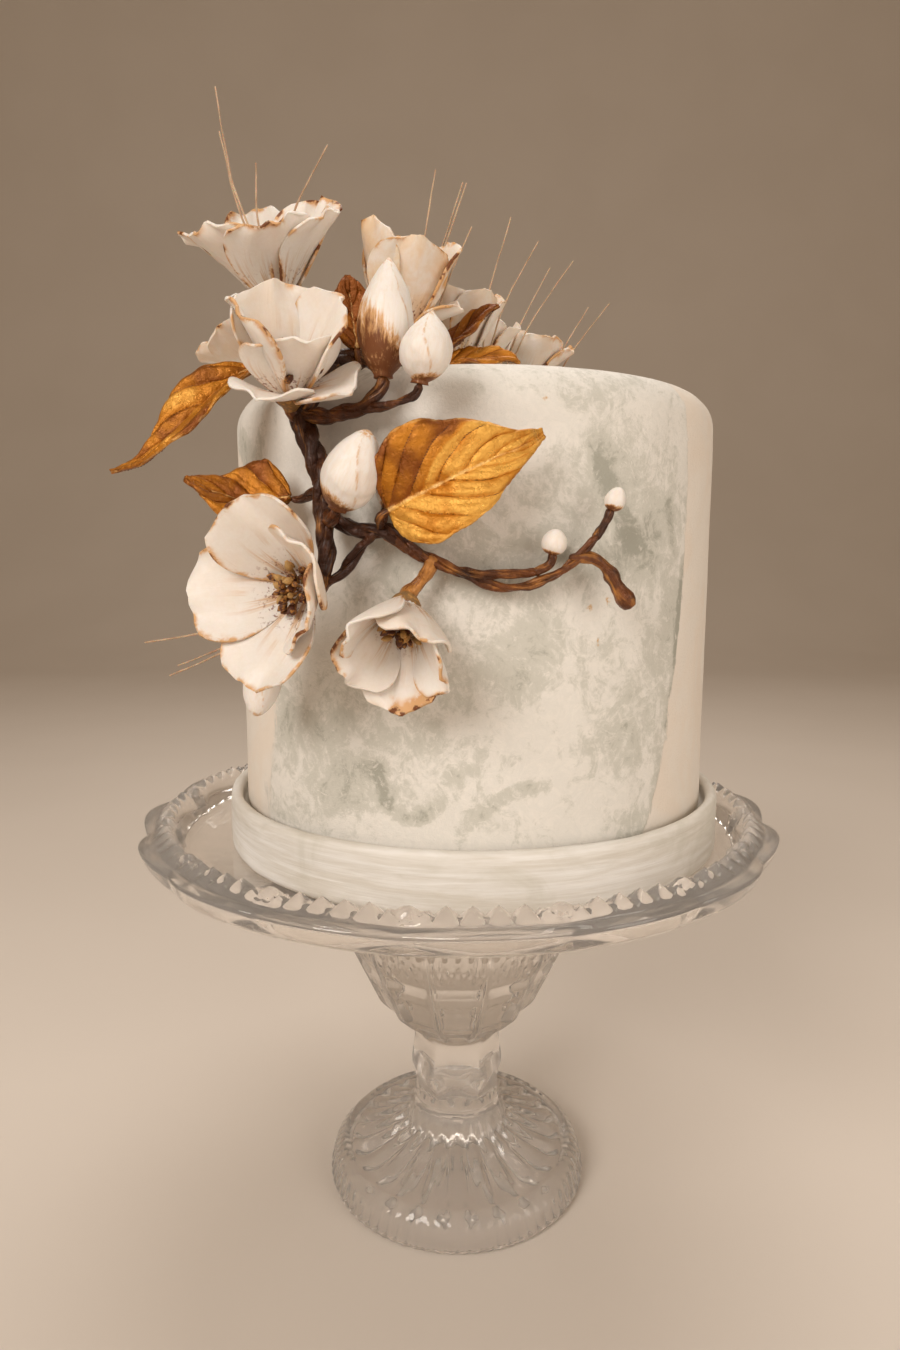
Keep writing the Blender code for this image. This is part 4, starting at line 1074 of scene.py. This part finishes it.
# Each stretch has its radius at both ends, the points that it runs through, and how warm its brown is.
BRANCH = {
    "main": (4.2, 2.6, [HUB, (-50, -95, 334), (-46, -97, 323), (-46, -99, 312), (-44, -103, 298),
                        (-45, -104, 291)], 0.1),
    "link": (2.6, 2.6, [(-46, -98, 317), (-41, -101, 309), (-34, -105, 306), (-25, -107, 306),
                        (-18, -107, 303)], 0.1),
    "lower": (2.2, 2.0, [(-28, -107, 306), (-34, -104, 299), (-39, -103, 292), (-45, -104, 288)], 0.15),
    "twig_upper": (2.4, 1.5, [(-25, -107, 306), (-15, -107, 299), (-7, -108.5, 295), (3, -108, 291.5),
                              (13, -108, 291.5), (25, -106.8, 292.4)], 0.45),
    "twig_lower": (1.9, 1.7, [(-4, -107.5, 294), (7, -108, 289), (15, -107.5, 287), (23, -107, 288),
                              (33, -106, 292), (40, -105.5, 298), (45, -104.5, 304)], 0.45),
    "lobe": (1.6, 3.0, [(37, -105.5, 297), (44, -105, 297.5), (49, -105, 293), (53, -104, 287),
                        (56, -103.5, 282)], 0.45),
    "over_top": (3.4, 2.6, [HUB, (-45, -87.9, 361.2), (-38, -75.3, 367.2), (-24, -60, 366), (-6, -38, 365.3),
                            (12, 13, 365.2), (30, 39, 365.2), (43, 56, 365.2)], 0.1),
    "peg_hub": (2.2, 2.2, [(-25, -107, 306), (-23.4, -97.2, 306)], 0.1),
}
# Stems that end just short of the piece they are named for.
STEMS = {
    "flower_open_left": (2.6, 2.0, [(-45, -103, 294)]),
    "flower_hanging": (2.2, 2.7, [(-9, -108.5, 296), (-12, -107.5, 290)]),
    "flower_tulip": (3.0, 2.0, [HUB]),
    "flower_top_left": (2.2, 1.8, [(-42, -81, 364.2), (-52, -70, 367.5), (-62, -62, 375)]),
    "flower_top_centre": (2.2, 1.8, [(-25, -60, 366)]),
    "flower_behind_left": (2.0, 1.6, [(-50, -73, 367), (-60, -45, 365.2)]),
    "flower_back_a": (2.0, 1.8, [(-2, -27, 365.3)]),
    "flower_back_b": (2.0, 1.8, [(10, 7, 365.2)]),
    "flower_back_c": (2.0, 1.8, [(30, 39, 365.2)]),
    "flower_back_d": (2.2, 1.8, [(13, 15, 365.2), (-2, 46, 365.2)]),
    "bud_tall": (2.8, 2.2, [HUB, (-43, -98, 343.5), (-32, -103, 345)]),
    "bud_small": (1.8, 1.4, [(-32, -103, 345), (-22.5, -109, 345.2)]),
    "bud_centre": (2.2, 2.0, [(-45.5, -99, 312), (-43, -106, 308.5)]),
    "bud_hidden": (1.6, 1.4, [(-27, -106, 306)]),
    "bud_below": (1.8, 1.4, [(-45, -104, 290), (-52, -101, 279)]),
    "bud_twig_near": (1.5, 1.5, [(25, -106.8, 292.4)]),
    "bud_twig_far": (1.7, 1.5, [(45, -104.5, 304)]),
    "bud_back": (2.2, 1.6, [(43, 56, 365.2)]),
    "leaf_front": (1.8, 1.4, [(-26, -107, 306)]),
    "leaf_left": (2.6, 1.4, [HUB, (-62, -86, 352)]),
    "leaf_behind_flower": (1.8, 1.4, [(-47, -97, 320)]),
    "leaf_dark": (1.4, 1.2, [(-36, -74, 364.8)]),
    "leaf_top_a": (1.4, 1.2, [(-10, -43, 365.3)]),
    "leaf_top_b": (1.4, 1.2, [(-18, -52, 365.8)]),
    "leaf_back": (1.6, 1.3, [(32, 41, 365.2)]),
    "leaf_back_left": (1.6, 1.3, [(-2, 46, 365.2)]),
}
STEM_WARMTH, HANGING_WARMTH = 0.3, 1.1
STEM_TIP = 3.0
STRAND_SIDES = 10
STRAND_PITCH = 34.0  # a strand goes once round its neighbours in this length


def stem_end(name):
    """The last two points of the stem that carries a flower, bud or leaf."""
    if name in FLOWERS:
        matrix = frame_at(*FLOWERS[name][:2])
        reach, along = CORE_RADIUS - CORE_RISE + GAP, -UP
    elif name in BUDS:
        matrix = frame_at(*BUDS[name][:2])
        reach, along = GAP, -UP
    else:
        matrix = leaf_frame(*LEAVES[name][:3])
        reach, along = 2 * GAP, Vector((-1, 0, 0))
    return [tuple(matrix @ (along * (reach + STEM_TIP))), tuple(matrix @ (along * reach))]


def add_strands(build, points, first, last, warm, draw):
    """Twisted strands along a stretch, which together are as thick as the CAD's plain tube."""
    path = resampled(points, 1.0, 6)
    length = distances(path)
    full = first + (last - first) * length / length[-1]
    # A long thick stretch has three strands, a long thinner one two, and a short one is single.
    strands = 3 if first > 2.3 and length[-1] > 14 else 2 if length[-1] > 12 and last < 2.5 else 1
    _, right, ahead = carried_frames(path)
    start = draw.uniform(0, TURN)
    for i in range(strands):
        turn = start + TURN * (i / strands + length / STRAND_PITCH)
        gap = full * (0.44 if strands > 1 else 0)
        lane = path + right * (gap * np.cos(turn))[:, None] + ahead * (gap * np.sin(turn))[:, None]
        lane[[0, -1]] = path[[0, -1]]
        girth = full * (0.64 if strands > 1 else 0.98)
        # The lumps differ from side to side of a strand, as the noise is read further off for each side.
        sides = np.arange(STRAND_SIDES)[:, None] * np.array([1, 0.3, 0.2]) * 9 / STRAND_SIDES
        lumps = np.stack([unevenness(lane + side, 7, 50 + i) for side in sides], axis=1)
        knots = 1 + 0.22 * unevenness(lane, 8, 60 + i)[:, None] + 0.24 * lumps
        add_tube(build, lane, girth[:, None] * knots, STRAND_SIDES, warm=warm)


def build_branch(bark, draw):
    build = Builder()
    stretches = dict(BRANCH)
    for name, (first, last, points) in STEMS.items():
        warm = HANGING_WARMTH if name == "flower_hanging" else STEM_WARMTH
        stretches[name] = (first, last, points + stem_end(name), warm)
    for first, last, points, warm in stretches.values():
        add_strands(build, points, first, last, warm, draw)
    build.piece("branch_strands", bark, "branch_bark", "branch")


# Dried stalks

# Each bunch has the point that its stalks rise from and their tips.
STALKS = {
    "stalks_top_left": ((-66.6, -64.1, 395.1), [(-89, -50, 467), (-88, -50, 452), (-75, -50, 441),
                                                (-48, -53, 446)]),
    "stalks_top_centre": ((-12, -45, 369), [(-9, -41, 442), (1.6, -38, 439), (3, -40, 438), (5, -40, 422)]),
    "stalks_middle": ((10, -12, 368.6), [(22, -10, 436), (34, -3, 429)]),
    "stalks_back": ((19, 22, 368.4), [(52, 20, 428), (42, 22, 426)]),
    "stalks_end": ((43, 56, 368.4), [(74, 50, 418), (66, 64, 420)]),
    "stalks_left": ((-48.9, -107.3, 285.9), [(-105, -106, 269), (-97, -107, 258), (-95, -104, 261)]),
}


def build_stalks(name, fibre, draw):
    root, tips = STALKS[name]
    build = Builder()
    for tip in tips:
        start, end = np.array(root, float), np.array(tip, float)
        bow = np.cross(end - start, (0, 1, 0)) * 0.065
        path = resampled([start, (start + end) / 2 + bow, end], 2.0, 30)
        path = path + 0.25 * np.stack([unevenness(path + 40 * i, 22, 70 + i) for i in range(3)], axis=1)
        share = np.linspace(0, 1, len(path))
        add_tube(build, path, 0.48 - 0.2 * share + 0.03 * draw.normal(size=len(path)), 7)
    build.piece(name + "_fibres", fibre, "dried_fibre", name)


# Stage, camera and light, in metres


def plain_floor():
    look = Look("studio_floor", roughness=0.75)
    colour = look.over((0.70, 0.62, 0.54), (0.72, 0.64, 0.56), look.noise(300, 2, 0.5), 0.3, 0.7)
    look.feed(look.shader.inputs["Base Color"], colour)
    mesh = bpy.data.meshes.new("studio_floor")
    half, back, high, bend = 4.0, 3.0, 4.0, 1.2
    rows = [(-half, 0)] + [(back - bend + bend * math.sin(a), bend - bend * math.cos(a))
                           for a in np.linspace(0, math.pi / 2, 13)] + [(back, high)]
    points = [(side * half, y, z) for y, z in rows for side in (-1, 1)]
    mesh.from_pydata(points, [], [(2 * i, 2 * i + 1, 2 * i + 3, 2 * i + 2) for i in range(len(rows) - 1)])
    mesh.materials.append(look.material)
    mesh.shade_smooth()
    floor = bpy.data.objects.new("studio_floor", mesh)
    bpy.context.scene.collection.objects.link(floor)


def soft_light(name, place, target, size, power, colour):
    data = bpy.data.lights.new(name, "AREA")
    data.shape, data.size, data.energy, data.color = "DISK", size, power, colour
    light = bpy.data.objects.new(name, data)
    light.location = place
    light.rotation_euler = (Vector(target) - Vector(place)).to_track_quat("-Z", "Y").to_euler()
    bpy.context.scene.collection.objects.link(light)


def studio():
    plain_floor()
    target = (0, 0, 0.27)
    soft_light("key_light", (-0.8, -1.25, 1.05), target, 0.9, 18, (1.0, 0.95, 0.90))
    soft_light("fill_light", (1.1, -1.1, 0.55), target, 1.2, 9, (1.0, 0.94, 0.88))
    soft_light("top_light", (0.15, 0.5, 1.5), target, 1.2, 9.5, (1.0, 0.95, 0.90))
    world = bpy.data.worlds.new("studio_world")
    world.use_nodes = True
    background = world.node_tree.nodes["Background"]
    background.inputs["Color"].default_value = (1.0, 0.77, 0.55, 1)
    background.inputs["Strength"].default_value = 0.26
    bpy.context.scene.world = world
    bpy.context.scene.view_settings.view_transform = "Standard"


CAMERA_PLACE = (-0.0033, -0.3983, 0.2995)
CAMERA_DOWN = 0.1409  # radians below the horizon
LENS, SENSOR_HEIGHT = 23.467, 36.0


def add_camera():
    data = bpy.data.cameras.new("photo_camera")
    data.sensor_fit, data.sensor_height, data.lens = "VERTICAL", SENSOR_HEIGHT, LENS
    data.sensor_width = SENSOR_HEIGHT
    data.clip_start = 0.01
    camera = bpy.data.objects.new("photo_camera", data)
    camera.location = CAMERA_PLACE
    camera.rotation_euler = (math.pi / 2 - CAMERA_DOWN, 0, 0)
    bpy.context.scene.collection.objects.link(camera)
    bpy.context.scene.camera = camera


def main():
    draw = np.random.default_rng(12)
    sugar, dark, gold, bud = petal_look(), stamen_look(), leaf_look(), bud_look()
    build_stand(glass_look())
    build_cake(cake_look())
    build_drum(drum_look())
    build_branch(bark_look(), draw)
    for name in FLOWERS:
        build_flower(name, sugar, dark, draw)
    for order, name in enumerate(BUDS):
        build_bud(name, bud, order)
    for name in LEAVES:
        build_leaf(name, gold)
    fibre = fibre_look()
    for name in STALKS:
        build_stalks(name, fibre, draw)
    studio()
    add_camera()


main()
